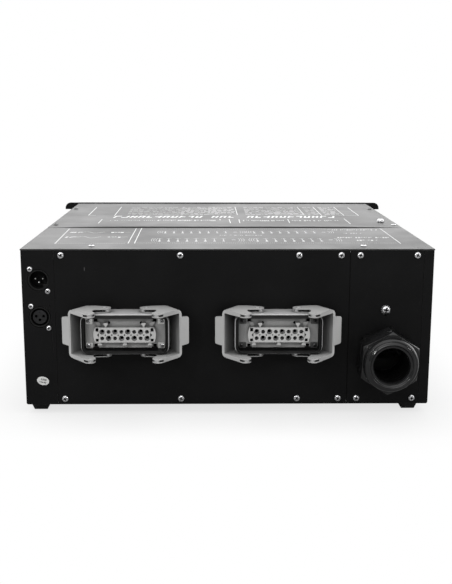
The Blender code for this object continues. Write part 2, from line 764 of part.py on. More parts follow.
def build_insert(key, x):
    """Sixteen-pole socket insert: flange, contact block, end brackets and corner screw lugs."""
    centre = (x, MULTIPIN_Z)
    face = REAR - INSERT_FACE
    outline = rounded(centre, INSERT_LENGTH, INSERT_WIDTH, 2 * MM, 2)
    flange = slab("flange", [outline], face, face + 3 * MM, "y")
    front = face - 9 * MM
    body = slab("body", [rounded(centre, 63 * MM, 17.6 * MM, 1.5 * MM, 2)], front, face + MM, "y")
    inner = rounded(centre, 68 * MM, 28 * MM, 1.5 * MM, 1)
    tail = slab("tail", [inner], face + 2 * MM, REAR + 16 * MM, "y")
    joined(flange, body, tail, *end_brackets(x, front, face))
    holes = []
    for column in range(8):
        for row in (-1, 1):
            big = (column + (row < 0)) % 2 == 0
            point = (x + (column - 3.5) * POLE_PITCH, MULTIPIN_Z + row * POLE_ROW)
            pole = circle(point, 2.7 * MM, 8) if big else circle(point, 1.8 * MM, 6)
            holes.append(slab("pole", [pole], front - MM, front + 7 * MM, "y"))
    for side in (-1, 1):
        for height, tall in ((5.6 * MM, 3 * MM), (0, 4 * MM), (-5.6 * MM, 3 * MM)):
            middle = x + side * (28.6 * MM - abs(height) * 0.12)
            loop = rectangle(
                (middle - 0.9 * MM, MULTIPIN_Z + height - tall / 2),
                (middle + 0.9 * MM, MULTIPIN_Z + height + tall / 2),
            )
            holes.append(slab("slot", [loop], front - MM, front + 5 * MM, "y"))
    cut(flange, merged("poles", holes))
    part(flange, f"output_{key}_insert", GREY_POLYMER)


def end_brackets(x, front, face):
    """The curved cheeks at both ends of the contact block and its five small guide tabs."""
    pieces = []
    for side in (-1, 1):
        cheek = arc((x + side * 16 * MM, MULTIPIN_Z), 17 * MM, 38, -38, 6)
        root = x + side * 26 * MM
        cheek += [(root, MULTIPIN_Z - 10.4 * MM), (root, MULTIPIN_Z + 10.4 * MM)]
        if side < 0:
            mirrored = [(2 * (x - 16 * MM) - px, pz) for px, pz in cheek[:7]]
            cheek = mirrored + cheek[7:]
        pieces.append(slab("cheek", [cheek], front + 0.6 * MM, face + MM, "y"))
    for dx, dz in ((-21, 10), (21, 10), (-26, -10), (0, -10), (26, -10)):
        low = (x + (dx - 1.6) * MM, MULTIPIN_Z + (dz - 2.6) * MM)
        high = (x + (dx + 1.6) * MM, MULTIPIN_Z + (dz + 2.6) * MM)
        pieces.append(slab("guide", [rectangle(low, high)], front + 2 * MM, face + MM, "y"))
    return pieces


def lever_outline():
    """Side view of the lever when closed, about its pivot: eye, back edge, bridge, hook and notch."""
    outer_x = LEVER_BRIDGE[0]
    eye = arc((0, 0), 6.8 * MM, -75, 105, 7)
    back = [(-14.7 * MM, 2.8 * MM), (-25.6 * MM, -3.6 * MM), (outer_x, -5.6 * MM)]
    front_edge = [(outer_x, LEVER_BRIDGE_FRONT), (-23.5 * MM, -26.6 * MM), (-7 * MM, -32.1 * MM)]
    hook = arc((2.4 * MM, -29.2 * MM), 6 * MM, 250, 400, 6)
    notch = [(-0.5 * MM, -20.5 * MM), (-3.8 * MM, -15.5 * MM), (-4.1 * MM, -11.4 * MM)]
    return eye + back + front_edge + hook + notch


def lever_bail():
    """The lever seen from the front: two arms joined by the bridge, with rounded corners."""
    reach = 12 * MM
    outer = LEVER_OUTER
    inner = LEVER_INNER
    outer_x, inner_x = LEVER_BRIDGE
    bend = 5 * MM
    inner_bend = bend + inner - outer
    bail = [(reach, outer)]
    bail += arc((outer_x + bend, outer - bend), bend, 90, 180, 3)
    bail += arc((outer_x + bend, bend - outer), bend, 180, 270, 3)
    bail += [(reach, -outer), (reach, -inner)]
    bail += arc((inner_x + inner_bend, inner_bend - inner), inner_bend, 270, 180, 2)
    bail += arc((inner_x + inner_bend, inner - inner_bend), inner_bend, 180, 90, 2)
    return bail + [(reach, inner)]


def lever_template():
    """A locking lever about its pivot, closed, for the -X end of a connector."""
    far = 40 * MM
    lever = slab("lever", [lever_bail()], -far, far, "y")
    boolean(lever, slab("lever_side", [lever_outline()], -far, far), "INTERSECT")
    upper = LEVER_TAB_RISE + LEVER_TAB_HEIGHT / 2
    lower = LEVER_TAB_RISE - LEVER_TAB_HEIGHT / 2
    front = LEVER_BRIDGE_FRONT
    end = LEVER_TAB_END
    tab = [(end, upper - 2.4 * MM), (end, lower + 2.4 * MM), (end + MM, lower + 1.2 * MM)]
    tab += [(-26 * MM, lower), (-26 * MM, upper), (end + MM, upper - 1.2 * MM)]
    joined(lever, slab("tab", [tab], front, front + 2.2 * MM, "y"))
    between_arms = LEVER_INNER - 0.15 * MM
    behind_bridge = block(
        "behind_bridge", (-far, LEVER_BRIDGE_REAR, -between_arms), (far, far, between_arms)
    )
    forks = []
    for side in (-1, 1):
        middle = side * (LEVER_OUTER + LEVER_INNER) / 2
        low = (-1.5 * MM, -far, middle - HOOK_SLOT / 2)
        forks.append(block("hook_slot", low, (far, -26 * MM, middle + HOOK_SLOT / 2)))
    holes = [
        slab("pivot_hole", [circle((0, 0), PIVOT_RADIUS + GAP, 10)], -far, far),
        slab("peg_hole", [circle((2.4 * MM, -31.4 * MM), 0.9 * MM, 6)], -far, far),
    ]
    cut(lever, behind_bridge, merged("fork_slots", forks), merged("lever_holes", holes))
    return baked(lever)


def build_levers():
    template = lever_template()
    mirrored = template.data.copy()
    mirrored.transform(Matrix.Scale(-1, 4, (1, 0, 0)))
    mirrored.flip_normals()
    for key, x in MULTIPIN_X.items():
        for side, name, mesh in ((-1, "left", template.data), (1, "right", mirrored)):
            lever = link("lever", mesh.copy())
            part(lever, f"output_{key}_lever_{name}", GREY_POLYMER)
            lever.location = (x + side * PIVOT_FROM_CENTRE, REAR - PIVOT_RISE, MULTIPIN_Z)
            lever.rotation_euler.z = side * LEVER_SWING
    bpy.data.objects.remove(template)


def build_multipins():
    for key, x in MULTIPIN_X.items():
        build_housing(key, x)
        build_gasket(key, x)
        build_insert(key, x)
    build_levers()


# ---------------------------------------------------------------- cable gland and earth


def build_gland():
    """Body with a hexagon outside the panel, lock nut inside, rubber seal and dome nut."""
    axis = (GLAND_X, GLAND_Z)
    centre = (GLAND_X, REAR, GLAND_Z)
    bore = GLAND_BORE + 2.6 * MM
    thread = 24.9 * MM
    profile = [(bore, 24 * MM), (thread - MM, 24 * MM), (thread, 23 * MM)]
    profile += [(thread, -13 * MM), (bore, -13 * MM)]
    sleeve = turned("sleeve", profile, centre, BACK, 28)
    collar = slab(
        "collar",
        [hexagon(axis, BODY_HEX, BODY_HEX_TURN), circle(axis, bore + 2 * MM, 28)],
        REAR - 9 * MM,
        REAR - GAP,
        "y",
    )
    part(joined(collar, sleeve), "gland_body", BLACK_NYLON)
    nut = slab(
        "nut",
        [hexagon(axis, LOCK_NUT_HEX, 0), circle(axis, thread + 0.4 * MM, 28)],
        REAR + SHEET + GAP,
        REAR + SHEET + GAP + 8 * MM,
        "y",
    )
    part(nut, "gland_lock_nut", BLACK_NYLON)
    seal_outer = bore - 0.3 * MM
    seal = [(GLAND_BORE, 30 * MM), (seal_outer, 30 * MM), (seal_outer, 2 * MM), (GLAND_BORE, 2 * MM)]
    part(turned("seal", seal, centre, BACK, 28), "gland_seal", RUBBER)
    part(dome_nut(axis, centre, thread + 0.25 * MM), "gland_dome_nut", BLACK_NYLON, centre)


def dome_nut(axis, centre, inner):
    """Hexagon with chamfered front corners, a rounded dome and a soft lip round the bore."""
    back = 9.8 * MM
    hex_front = 36 * MM
    lip = 46 * MM
    outline = hexagon(axis, HEX_ACROSS_CORNERS, DOME_HEX_TURN)
    core = slab("core", [outline], REAR - hex_front, REAR - back, "y")
    chamfer = [
        (0, lip),
        (26 * MM, lip),
        (29.2 * MM, hex_front),
        (31.2 * MM, hex_front - 0.2 * MM),
        (36 * MM, hex_front - 4.6 * MM),
        (36 * MM, back - MM),
        (0, back - MM),
    ]
    boolean(core, turned("chamfer", chamfer, centre, BACK, 24), "INTERSECT")
    dome = [(22 * MM, lip)]
    dome += [(28.2 * MM - (r - 5 * MM), h) for r, h in dome_curve(hex_front, lip)]
    dome += [(22 * MM, hex_front - 3 * MM)]
    ring = turned("dome", dome, centre, BACK, 24)
    joined(core, ring)
    hollow = [
        (GLAND_BORE + 3 * MM, lip + MM),
        (GLAND_BORE + 3 * MM, lip),
        (GLAND_BORE + 0.3 * MM, lip - 2.6 * MM),
        (GLAND_BORE + 0.3 * MM, 31.5 * MM),
        (GLAND_BORE + 2.2 * MM, 30.6 * MM),
        (inner, 27 * MM),
        (inner, back - MM),
        (0, back - MM),
    ]
    hollow = [(0, lip + MM)] + hollow
    return cut(core, turned("hollow", hollow, centre, BACK, 24))


def dome_curve(low, high):
    """Quarter-round shoulder of the dome as (inset, height) points, from its lip down to the hexagon."""
    rise = high - low
    return [
        (5 * MM + 4.6 * MM * (1 - math.cos(math.radians(a))), low + rise * math.sin(math.radians(a)))
        for a in (90, 68, 46, 22, 0)
    ]


def build_earth_screw():
    x, z = EARTH
    teeth = 14
    outline = []
    for i in range(teeth * 2):
        angle = math.pi * i / teeth
        radius = (5.3 if i % 2 else 4.6) * MM
        outline.append((x + radius * math.cos(angle), z + radius * math.sin(angle)))
    hole = circle((x, z), 3.3 * MM, 14)
    washer = slab("washer", [outline, hole], REAR - GAP - 0.8 * MM, REAR - GAP, "y")
    part(washer, "earth_star_washer", ZINC)
    place = [(x, REAR - 2 * GAP - 0.8 * MM, z)]
    screw = pan_screws("earth", place, BACK, 4.7 * MM, 3.2 * MM, 2.9 * MM, 16 * MM)
    part(screw, "earth_screw", ZINC)


# ---------------------------------------------------------------- front controls


def build_breakers():
    """Twelve breaker modules on one carrier, each with a slot for its toggle."""
    back = FRONT - 58 * MM
    face = FRONT - 4 * MM
    nose = FRONT + GAP + PANEL_SHEET + BREAKER_NOSE
    half = BREAKER_BODY[0] / 2
    low = (breaker_x(0) - half, back, BREAKER_Z - BREAKER_BODY[1] / 2)
    high = (breaker_x(CHANNELS - 1) + half, face, BREAKER_Z + BREAKER_BODY[1] / 2)
    bank = block("bank", low, high)
    noses = []
    wells = []
    width, height = BREAKER_FACE
    well_width, well_height, well_depth = BREAKER_WELL
    for channel in range(CHANNELS):
        x = breaker_x(channel)
        low = (x - width / 2, face - 2 * MM, BREAKER_Z - height / 2)
        noses.append(block("nose", low, (x + width / 2, nose, BREAKER_Z + height / 2)))
        low = (x - well_width / 2, nose - well_depth, BREAKER_Z - well_height / 2)
        wells.append(block("well", low, (x + well_width / 2, nose + MM, BREAKER_Z + well_height / 2)))
    joined(bank, merged("noses", noses))
    cut(bank, merged("wells", wells))
    part(bank, "breaker_bank", BLACK_NYLON)
    pivot_y = nose - 6 * MM
    for channel in range(CHANNELS):
        centre = (breaker_x(channel), pivot_y, BREAKER_Z)
        hub = slab("hub", [toggle_outline()], -TOGGLE_WIDTH / 2, TOGGLE_WIDTH / 2, "x")
        hub.data.transform(Matrix.Rotation(TOGGLE_ON, 4, "X"))
        part(hub, f"breaker_toggle_{channel + 1:02d}", BLACK_NYLON)
        hub.location = centre


def toggle_outline():
    """Side view of a toggle about its pivot: round hub and a tapered handle pointing outward."""
    hub = arc((0, 0), TOGGLE_HUB, 25, 335, 12)
    neck = (TOGGLE_REACH - 0.5 * MM, TOGGLE_TIP - 0.1 * MM)
    tip = arc((TOGGLE_REACH, 0), TOGGLE_TIP, -60, 60, 3)
    return hub + [(neck[0], -neck[1])] + tip + [neck]


def build_controls():
    """Display behind its window, four push buttons and the control board."""
    behind = FRONT - GAP
    window = rounded((CONTROL_X, DISPLAY_Z), *WINDOW_SIZE, MM, 2)
    glass = slab("glass", [window], behind - 2 * MM, FRONT + 2.4 * MM, "y")
    frame = rounded((CONTROL_X, DISPLAY_Z), *DISPLAY_FRAME, MM, 1)
    back = slab("frame", [frame], behind - 9 * MM, behind, "y")
    part(joined(glass, back), "display_module", SCREEN)
    top = GAP + PANEL_SHEET + BUTTON_RISE
    collar = BUTTON_RADIUS + 1.4 * MM
    for i in range(BUTTON_COUNT):
        centre = (button_x(i), FRONT, BUTTON_Z)
        profile = [(0, top), (BUTTON_RADIUS - 0.8 * MM, top), (BUTTON_RADIUS, top - 0.8 * MM)]
        profile += [(BUTTON_RADIUS, -GAP), (collar, -GAP), (collar, -2 * MM), (2 * MM, -2 * MM)]
        profile += [(2 * MM, -6 * MM), (0, -6 * MM)]
        button = turned("button", profile, centre, -BACK, 12)
        part(button, f"menu_button_{i + 1}", GREY_POLYMER, centre)
    rear = FRONT - CONTROL_BOARD_DEPTH
    low = (CONTROL_BOARD_X[0], rear, CONTROL_BOARD_Z[0])
    board = block("board", low, (CONTROL_BOARD_X[1], rear + BOARD_SHEET, CONTROL_BOARD_Z[1]))
    blocks = []
    for i in range(BUTTON_COUNT):
        x = button_x(i)
        low = (x - 3 * MM, rear + MM, BUTTON_Z - 3 * MM)
        blocks.append(block("switch", low, (x + 3 * MM, FRONT - 8 * MM, BUTTON_Z + 3 * MM)))
    low = (CONTROL_X - 20 * MM, rear - 6 * MM, 74 * MM)
    blocks.append(block("processor", low, (CONTROL_X + 4 * MM, rear + 0.5 * MM, 86 * MM)))
    part(joined(board, merged("board_parts", blocks)), "control_board", CIRCUIT_BOARD)


# ---------------------------------------------------------------- inside


def build_fan():
    """Axial fan behind the grille of the left wall. Its rotor turns about X."""
    wall = -WIDTH / 2 + SHEET + GAP
    centre = (FAN_Y, FAN_Z)
    mouth = FAN_SIZE / 2 - 2 * MM
    loops = [rounded(centre, FAN_SIZE, FAN_SIZE, 4 * MM, 2), circle(centre, mouth, 20)]
    corner = FAN_SIZE / 2 - 4.5 * MM
    screw_holes = [(FAN_Y + sy * corner, FAN_Z + sz * corner) for sy in (-1, 1) for sz in (-1, 1)]
    loops += [circle(point, 2.2 * MM, 8) for point in screw_holes]
    frame = slab("frame", loops, wall, wall + FAN_DEPTH, "x")
    spokes = []
    for turn in (0, 90):
        size = (2 * MM, 2 * mouth + 2 * MM, 4 * MM)
        arm = block("arm", [-s / 2 for s in size], [s / 2 for s in size])
        middle = Matrix.Translation((wall + FAN_DEPTH - MM, FAN_Y, FAN_Z))
        arm.data.transform(middle @ Matrix.Rotation(math.radians(45 + turn), 4, "X"))
        spokes.append(arm)
    seat = slab("seat", [circle(centre, 14 * MM, 14)], wall + FAN_DEPTH - 2 * MM, wall + FAN_DEPTH, "x")
    joined(frame, spokes[0], spokes[1], seat)
    part(frame, "fan_frame", BLACK_NYLON)
    start = wall + 3 * MM
    hub = slab("hub", [circle(centre, FAN_HUB, 14)], start, wall + FAN_DEPTH - 2.6 * MM, "x")
    blades = []
    pitch = Matrix.Rotation(FAN_BLADE_PITCH, 4, "Z")
    reach = Matrix.Translation((0, 0, FAN_HUB - MM + FAN_BLADE[2] / 2))
    middle = Matrix.Translation((start + 9 * MM, FAN_Y, FAN_Z))
    for i in range(FAN_BLADES):
        blade = block("blade", [-s / 2 for s in FAN_BLADE], [s / 2 for s in FAN_BLADE])
        turn = Matrix.Rotation(2 * math.pi * i / FAN_BLADES, 4, "X")
        blade.data.transform(middle @ turn @ reach @ pitch)
        blades.append(blade)
    joined(hub, merged("blades", blades))
    part(hub, "fan_rotor", BLACK_NYLON, (start, FAN_Y, FAN_Z))


def build_power_stage():
    """Finned heat sink on the floor with the power module board on top."""
    floor = SHEET + GAP
    half = HEAT_SINK_HALF
    near, far = HEAT_SINK_Y
    low, high = HEAT_SINK_BASE_Z
    base = block("base", (-half, near, low), (half, far, high))
    fins = []
    count = int(2 * half / FIN_PITCH)
    for i in range(count + 1):
        x = -half + (2 * half - FIN_SHEET) * i / count
        fins.append(block("fin", (x, near, floor), (x + FIN_SHEET, far, low + MM)))
    joined(base, merged("fins", fins))
    part(base, "heat_sink", ALUMINIUM)
    under = high + GAP
    board = block("board", (-half, near + 4 * MM, under), (half, far - 4 * MM, under + 2 * MM))
    modules = []
    for i in range(CHANNELS):
        x = -half + 12 * MM + i * MODULE_PITCH
        for size, y in ((MODULE_SIZE, 10 * MM), (FUSE_SIZE, -36 * MM)):
            corner = Vector((x - size[0] / 2, y, under + MM))
            modules.append(block("module", corner, corner + Vector(size)))
    part(joined(board, merged("modules", modules)), "power_module_board", CIRCUIT_BOARD)


def build_chokes():
    """Twelve ring chokes on one carrier board."""
    top = CHOKE_BOARD_TOP
    (left, right), (near, far) = CHOKE_BOARD_X, CHOKE_BOARD_Y
    board = block("board", (left, near, top - 2 * MM), (right, far, top))
    rings = []
    for i in range(CHANNELS):
        point = (CHOKE_FIRST[0] + CHOKE_PITCH * (i % 6), CHOKE_FIRST[1] + CHOKE_PITCH * (i // 6))
        loops = [circle(point, CHOKE_RADIUS, 10), circle(point, CHOKE_BORE, 6)]
        rings.append(slab("ring", loops, top - MM, top + 20 * MM))
    standoffs = [
        block("standoff", (x - 4 * MM, y - 4 * MM, SHEET + GAP), (x + 4 * MM, y + 4 * MM, top - MM))
        for x in (left + 6 * MM, right - 6 * MM)
        for y in (near + 6 * MM, far - 6 * MM)
    ]
    joined(board, merged("rings", rings), merged("standoffs", standoffs))
    part(board, "choke_board", CIRCUIT_BOARD)


def build_terminals():
    """Five-pole mains terminal block on the floor inside the cable gland."""
    (left, right), (near, far) = TERMINAL_X, TERMINAL_Y
    body = block("body", (left, near, SHEET + GAP), (right, far, TERMINAL_TOP))
    wells = []
    for i in range(TERMINAL_POLES):
        x = TERMINAL_FIRST_X + TERMINAL_PITCH * i
        loop = circle((x, (near + far) / 2), 3.6 * MM, 8)
        wells.append(slab("well", [loop], TERMINAL_TOP - 12 * MM, TERMINAL_TOP + MM))
        loop = circle((x, 12 * MM), 4 * MM, 8)
        wells.append(slab("entry", [loop], near - MM, near + 10 * MM, "y"))
    part(cut(body, merged("terminal_wells", wells)), "mains_terminal_block", GREY_POLYMER)


build_chassis()
build_rear_panels()
build_covers()
build_rails()
build_front_panel()
build_feet()
build_signal_connectors()
build_multipins()
build_gland()
build_earth_screw()
build_breakers()
build_controls()
build_fan()
build_power_stage()
build_chokes()
build_terminals()
move_onto_origin()
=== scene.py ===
"""Looks for the rack-mount power distribution box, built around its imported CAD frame."""

import json
import math
import random

import bmesh
import bpy
from mathutils import Matrix, Vector
from mathutils.geometry import tessellate_polygon


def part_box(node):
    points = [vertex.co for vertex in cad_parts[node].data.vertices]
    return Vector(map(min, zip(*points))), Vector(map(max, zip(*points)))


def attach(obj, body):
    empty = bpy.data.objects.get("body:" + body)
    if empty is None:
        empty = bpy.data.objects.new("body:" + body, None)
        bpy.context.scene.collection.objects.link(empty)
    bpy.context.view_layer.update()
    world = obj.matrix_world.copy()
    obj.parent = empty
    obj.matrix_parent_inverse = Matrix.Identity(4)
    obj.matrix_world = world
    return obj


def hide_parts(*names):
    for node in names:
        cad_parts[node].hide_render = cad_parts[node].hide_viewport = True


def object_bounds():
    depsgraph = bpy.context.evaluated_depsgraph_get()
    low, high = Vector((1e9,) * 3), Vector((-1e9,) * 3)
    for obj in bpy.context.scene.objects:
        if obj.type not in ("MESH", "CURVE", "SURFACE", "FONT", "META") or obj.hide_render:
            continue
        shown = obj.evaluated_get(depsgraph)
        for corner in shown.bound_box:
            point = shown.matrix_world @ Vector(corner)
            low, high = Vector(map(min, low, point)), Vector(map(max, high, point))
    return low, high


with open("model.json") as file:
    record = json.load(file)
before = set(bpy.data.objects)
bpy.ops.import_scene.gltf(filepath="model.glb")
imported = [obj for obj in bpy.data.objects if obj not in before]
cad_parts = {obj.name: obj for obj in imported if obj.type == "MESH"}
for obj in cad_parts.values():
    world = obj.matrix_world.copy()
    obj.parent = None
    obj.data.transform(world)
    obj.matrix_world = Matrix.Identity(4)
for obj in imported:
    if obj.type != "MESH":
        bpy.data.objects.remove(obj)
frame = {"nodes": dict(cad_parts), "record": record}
CAD_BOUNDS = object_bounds()
NODES = frame["nodes"]
MM = 0.001
ROOT = "enclosure"

# Shapes are drawn in millimetres: x, distance out of the connector side, height over the chassis underside.
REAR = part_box("rear_panel_center")[0].y
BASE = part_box("chassis_tray")[0].z
TO_ROW = Matrix.Translation((0, REAR, BASE)) @ Matrix.Diagonal((MM, -MM, MM, 1))
OUT = (0, 1, 0)
UP = (0, 0, 1)

CONNECTORS = {"a": -108.7, "b": 53.0}
CONNECTOR_Z = 85.5
CONTACT_PITCH = 6.7
CONTACT_ROW = 3.5
LEVER_SWING = math.radians(32)
LEVER_ARM_Z = 24
PIVOT = (22.0, 14.5)
PIVOT_PIN = (4.46, 1.47)
HOOK_PIN = (4.9, 30.9)
# The slot over each pivot lies square to the panel in the open lever, so it is turned back by the swing.
SWING_SIN, SWING_COS = 0.53, 0.85
SLOT_CORNERS = ((-12.5, -1), (5.4, -1), (5.4, 12), (-12.5, 12))
PIVOT_SLOT = [(SWING_COS * u + SWING_SIN * v, SWING_COS * v - SWING_SIN * u) for u, v in SLOT_CORNERS]
GLAND = (170.4, 55.0)
GLAND_HEX_RADIUS = 34.3
GLAND_HEX_TURN = 27
XLR_X = -202.0
XLR_INPUT_Z = 138.5
XLR_OUTPUT_Z = 98.0
XLR_CONTACTS = [(-3.96, 0.8), (3.96, 0.8), (0, -3.2)]
EARTH = (170.0, 106.0)
LID_TOP = 172.0
SCREW_SEAT = 0.3
RAIL_END = 218.2
SIDE_RAIL_WIDTH = 20.0
TOP_RAIL = (160.3, 169.8)
BOTTOM_RAIL = (1.8, 11.3)
PANEL_SCREW_XS = (-177.5, -51, 75.7, 120.6, 141, 202)
SMOOTH_ANGLE = math.radians(35)


# ---------------------------------------------------------------- materials


class Nodes:
    """Short forms for building the node tree of a new material, or of the world."""

    def __init__(self, name, world=None):
        self.material = world or bpy.data.materials.new(name)
        self.material.use_nodes = True
        self.tree = self.material.node_tree
        self.shader = self.tree.nodes.get("Principled BSDF")
        self.coordinates = self.add("ShaderNodeTexCoord").outputs
        self.place = self.coordinates["Object"]

    def add(self, kind, **settings):
        node = self.tree.nodes.new(kind)
        for key, value in settings.items():
            setattr(node, key, value)
        return node

    def wire(self, value, socket):
        """Links an output to an input, or sets the input to a plain value."""
        if isinstance(value, bpy.types.NodeSocket):
            self.tree.links.new(value, socket)
        else:
            socket.default_value = value

    def noise(self, scale, detail=3.0, roughness=0.55, place=None):
        node = self.add("ShaderNodeTexNoise")
        self.wire(place or self.place, node.inputs["Vector"])
        node.inputs["Scale"].default_value = scale
        node.inputs["Detail"].default_value = detail
        node.inputs["Roughness"].default_value = roughness
        return node.outputs["Fac"]

    def cells(self, scale, feature="F1"):
        node = self.add("ShaderNodeTexVoronoi", feature=feature)
        self.wire(self.place, node.inputs["Vector"])
        node.inputs["Scale"].default_value = scale
        return node.outputs["Distance"]

    def stretch(self, scale, turn=(0, 0, 0)):
        node = self.add("ShaderNodeMapping")
        self.wire(self.place, node.inputs["Vector"])
        node.inputs["Scale"].default_value = scale
        node.inputs["Rotation"].default_value = turn
        return node.outputs["Vector"]

    def remap(self, value, low, high, to_low=0.0, to_high=1.0):
        node = self.add("ShaderNodeMapRange")
        self.wire(value, node.inputs["Value"])
        settings = {"From Min": low, "From Max": high, "To Min": to_low, "To Max": to_high}
        for name, setting in settings.items():
            node.inputs[name].default_value = setting
        return node.outputs["Result"]

    def math(self, operation, first, second=0.0):
        node = self.add("ShaderNodeMath", operation=operation)
        self.wire(first, node.inputs[0])
        self.wire(second, node.inputs[1])
        return node.outputs[0]

    def mix(self, factor, first, second):
        node = self.add("ShaderNodeMix", data_type="RGBA")
        self.wire(factor, node.inputs["Factor"])
        for value, socket in ((first, node.inputs[6]), (second, node.inputs[7])):
            self.wire(value if isinstance(value, bpy.types.NodeSocket) else (*value, 1), socket)
        return node.outputs[2]

    def grey(self, value):
        node = self.add("ShaderNodeCombineXYZ")
        for socket in node.inputs:
            self.wire(value, socket)
        return node.outputs[0]

    def occlusion(self, distance):
        """How open the surface is to the room, from zero in a crevice to one."""
        node = self.add("ShaderNodeAmbientOcclusion", samples=8)
        node.inputs["Distance"].default_value = distance * MM
        return node.outputs["AO"]

    def painted_shade(self, colour, distance, floor):
        """Painted shade: darkens a colour from ambient occlusion where the surface is closed in."""
        depth = self.remap(self.occlusion(distance), 0.15, 0.85, floor, 1.0)
        node = self.add("ShaderNodeMix", data_type="RGBA", blend_type="MULTIPLY")
        node.inputs["Factor"].default_value = 1.0
        self.wire(colour, node.inputs[6])
        self.wire(self.grey(depth), node.inputs[7])
        return node.outputs[2]

    def bump(self, height, strength, distance, normal=None):
        node = self.add("ShaderNodeBump")
        self.wire(height, node.inputs["Height"])
        node.inputs["Strength"].default_value = strength
        node.inputs["Distance"].default_value = distance
        if normal is not None:
            self.wire(normal, node.inputs["Normal"])
        return node.outputs["Normal"]

    def edges(self, radius):
        """One where the surface turns sharply within the radius, for wear along edges."""
        node = self.add("ShaderNodeBevel", samples=4)
        node.inputs["Radius"].default_value = radius
        geometry = self.add("ShaderNodeNewGeometry")
        dot = self.add("ShaderNodeVectorMath", operation="DOT_PRODUCT")
        self.wire(node.outputs["Normal"], dot.inputs[0])
        self.wire(geometry.outputs["Normal"], dot.inputs[1])
        return self.remap(dot.outputs["Value"], 0.97, 0.80)

    def finish(self, colour, roughness, metallic=0.0, normal=None, **inputs):
        values = {"Base Color": colour, "Roughness": roughness, "Metallic": metallic, "Normal": normal}
        values.update({key.replace("_", " "): value for key, value in inputs.items()})
        for name, value in values.items():
            if value is None:
                continue
            if isinstance(value, tuple) and len(value) == 3:
                value = (*value, 1)
            self.wire(value, self.shader.inputs[name])
        return self.material


def scaled(colour, factor):
    return tuple(min(1, channel * factor) for channel in colour)


def powder_coat(name, base, sheen, level):
    """Fine-textured black powder coat with faint mottling, dust and paler worn edges."""
    n = Nodes(name)
    mottle = n.remap(n.noise(14, 4), 0.35, 0.7)
    dust = n.remap(n.noise(900, 2, 0.7), 0.66, 0.78, 0, 0.35)
    colour = n.mix(mottle, base, scaled(base, 1.7))
    colour = n.mix(dust, colour, (0.05, 0.05, 0.05))
    colour = n.mix(n.math("MULTIPLY", n.edges(0.5 * MM), 0.35), colour, (0.045, 0.045, 0.045))
    grain = n.math("ADD", n.noise(1500, 2), n.math("MULTIPLY", n.cells(900), 0.6))
    roughness = n.remap(mottle, 0, 1, sheen - 0.04, sheen + 0.06)
    normal = n.bump(grain, 0.35, 0.05 * MM)
    return n.finish(colour, roughness, normal=normal, Specular_IOR_Level=level)


def grey_polymer(name, base):
    """Moulded grey plastic with a fine spark-eroded texture, slight yellowing in patches and painted shade
    where it is closed in.
    """
    n = Nodes(name)
    patches = n.remap(n.noise(35, 3), 0.3, 0.7)
    colour = n.mix(patches, base, scaled(base, 0.88))
    specks = n.remap(n.noise(420, 3, 0.7), 0.62, 0.75, 0, 0.25)
    colour = n.mix(specks, colour, scaled(base, 0.55))
    colour = n.mix(n.math("MULTIPLY", n.edges(0.5 * MM), 0.3), colour, scaled(base, 1.35))
    normal = n.bump(n.noise(1900, 2), 0.25, 0.04 * MM)
    roughness = n.remap(patches, 0, 1, 0.38, 0.5)
    # Painted shade from ambient occlusion darkens corners and inner faces.
    return n.finish(n.painted_shade(colour, 40, 0.25), roughness, normal=normal)


def casting(name, base):
    """Grey painted die casting with a soft orange-peel surface and painted shade where it is closed in."""
    n = Nodes(name)
    patches = n.remap(n.noise(60, 4), 0.3, 0.7)
    colour = n.mix(patches, base, scaled(base, 0.8))
    colour = n.mix(n.math("MULTIPLY", n.edges(0.4 * MM), 0.5), colour, scaled(base, 1.8))
    normal = n.bump(n.noise(500, 3), 0.3, 0.08 * MM)
    # Painted shade from ambient occlusion darkens the casting in corners and inside the mouth.
    return n.finish(n.painted_shade(colour, 40, 0.12), n.remap(patches, 0, 1, 0.36, 0.48), normal=normal)


def rubber(name, base=(0.008, 0.008, 0.008), sheen=0.6, level=0.35):
    """Matte black rubber or plastic with a paler bloom in patches."""
    n = Nodes(name)
    bloom = n.remap(n.noise(120, 4, 0.65), 0.45, 0.75)
    colour = n.mix(bloom, base, scaled(base, 2.6))
    normal = n.bump(n.noise(1100, 3), 0.3, 0.06 * MM)
    roughness = n.remap(bloom, 0, 1, sheen, sheen + 0.15)
    return n.finish(colour, roughness, normal=normal, Specular_IOR_Level=level)


def gloss_nylon(name, base=(0.006, 0.006, 0.0065), sheen=0.16, level=0.5):
    """Glossy black nylon with slight flow ripples and hairline scratches."""
    n = Nodes(name)
    smear = n.remap(n.noise(70, 4), 0.35, 0.7)
    ripple = n.noise(110, 2)
    fine = n.noise(900, 2, place=n.stretch((1, 7, 1), (0.2, 0.4, 0.7)))
    normal = n.bump(fine, 0.10, 0.03 * MM, n.bump(ripple, 0.12, 0.4 * MM))
    roughness = n.remap(smear, 0, 1, sheen, sheen + 0.14)
    colour = n.mix(smear, base, scaled(base, 1.8))
    return n.finish(colour, roughness, normal=normal, Specular_IOR_Level=level)


def plated_steel(name, base=(0.62, 0.62, 0.63), sheen=0.26):
    """Zinc-plated steel with turning marks and small dull spots."""
    n = Nodes(name)
    spots = n.remap(n.noise(700, 3, 0.7), 0.5, 0.72)
    colour = n.mix(spots, base, scaled(base, 0.45))
    normal = n.bump(n.noise(1600, 2), 0.25, 0.03 * MM)
    return n.finish(colour, n.remap(spots, 0, 1, sheen, sheen + 0.25), 1.0, normal=normal)


def aluminium(name):
    """Extruded aluminium with fine lines along it."""
    n = Nodes(name)
    lines = n.noise(600, 2, place=n.stretch((1, 0.02, 1)))
    normal = n.bump(lines, 0.3, 0.05 * MM)
    return n.finish(n.mix(lines, (0.62, 0.63, 0.65), (0.78, 0.78, 0.8)), 0.36, 1.0, normal=normal)


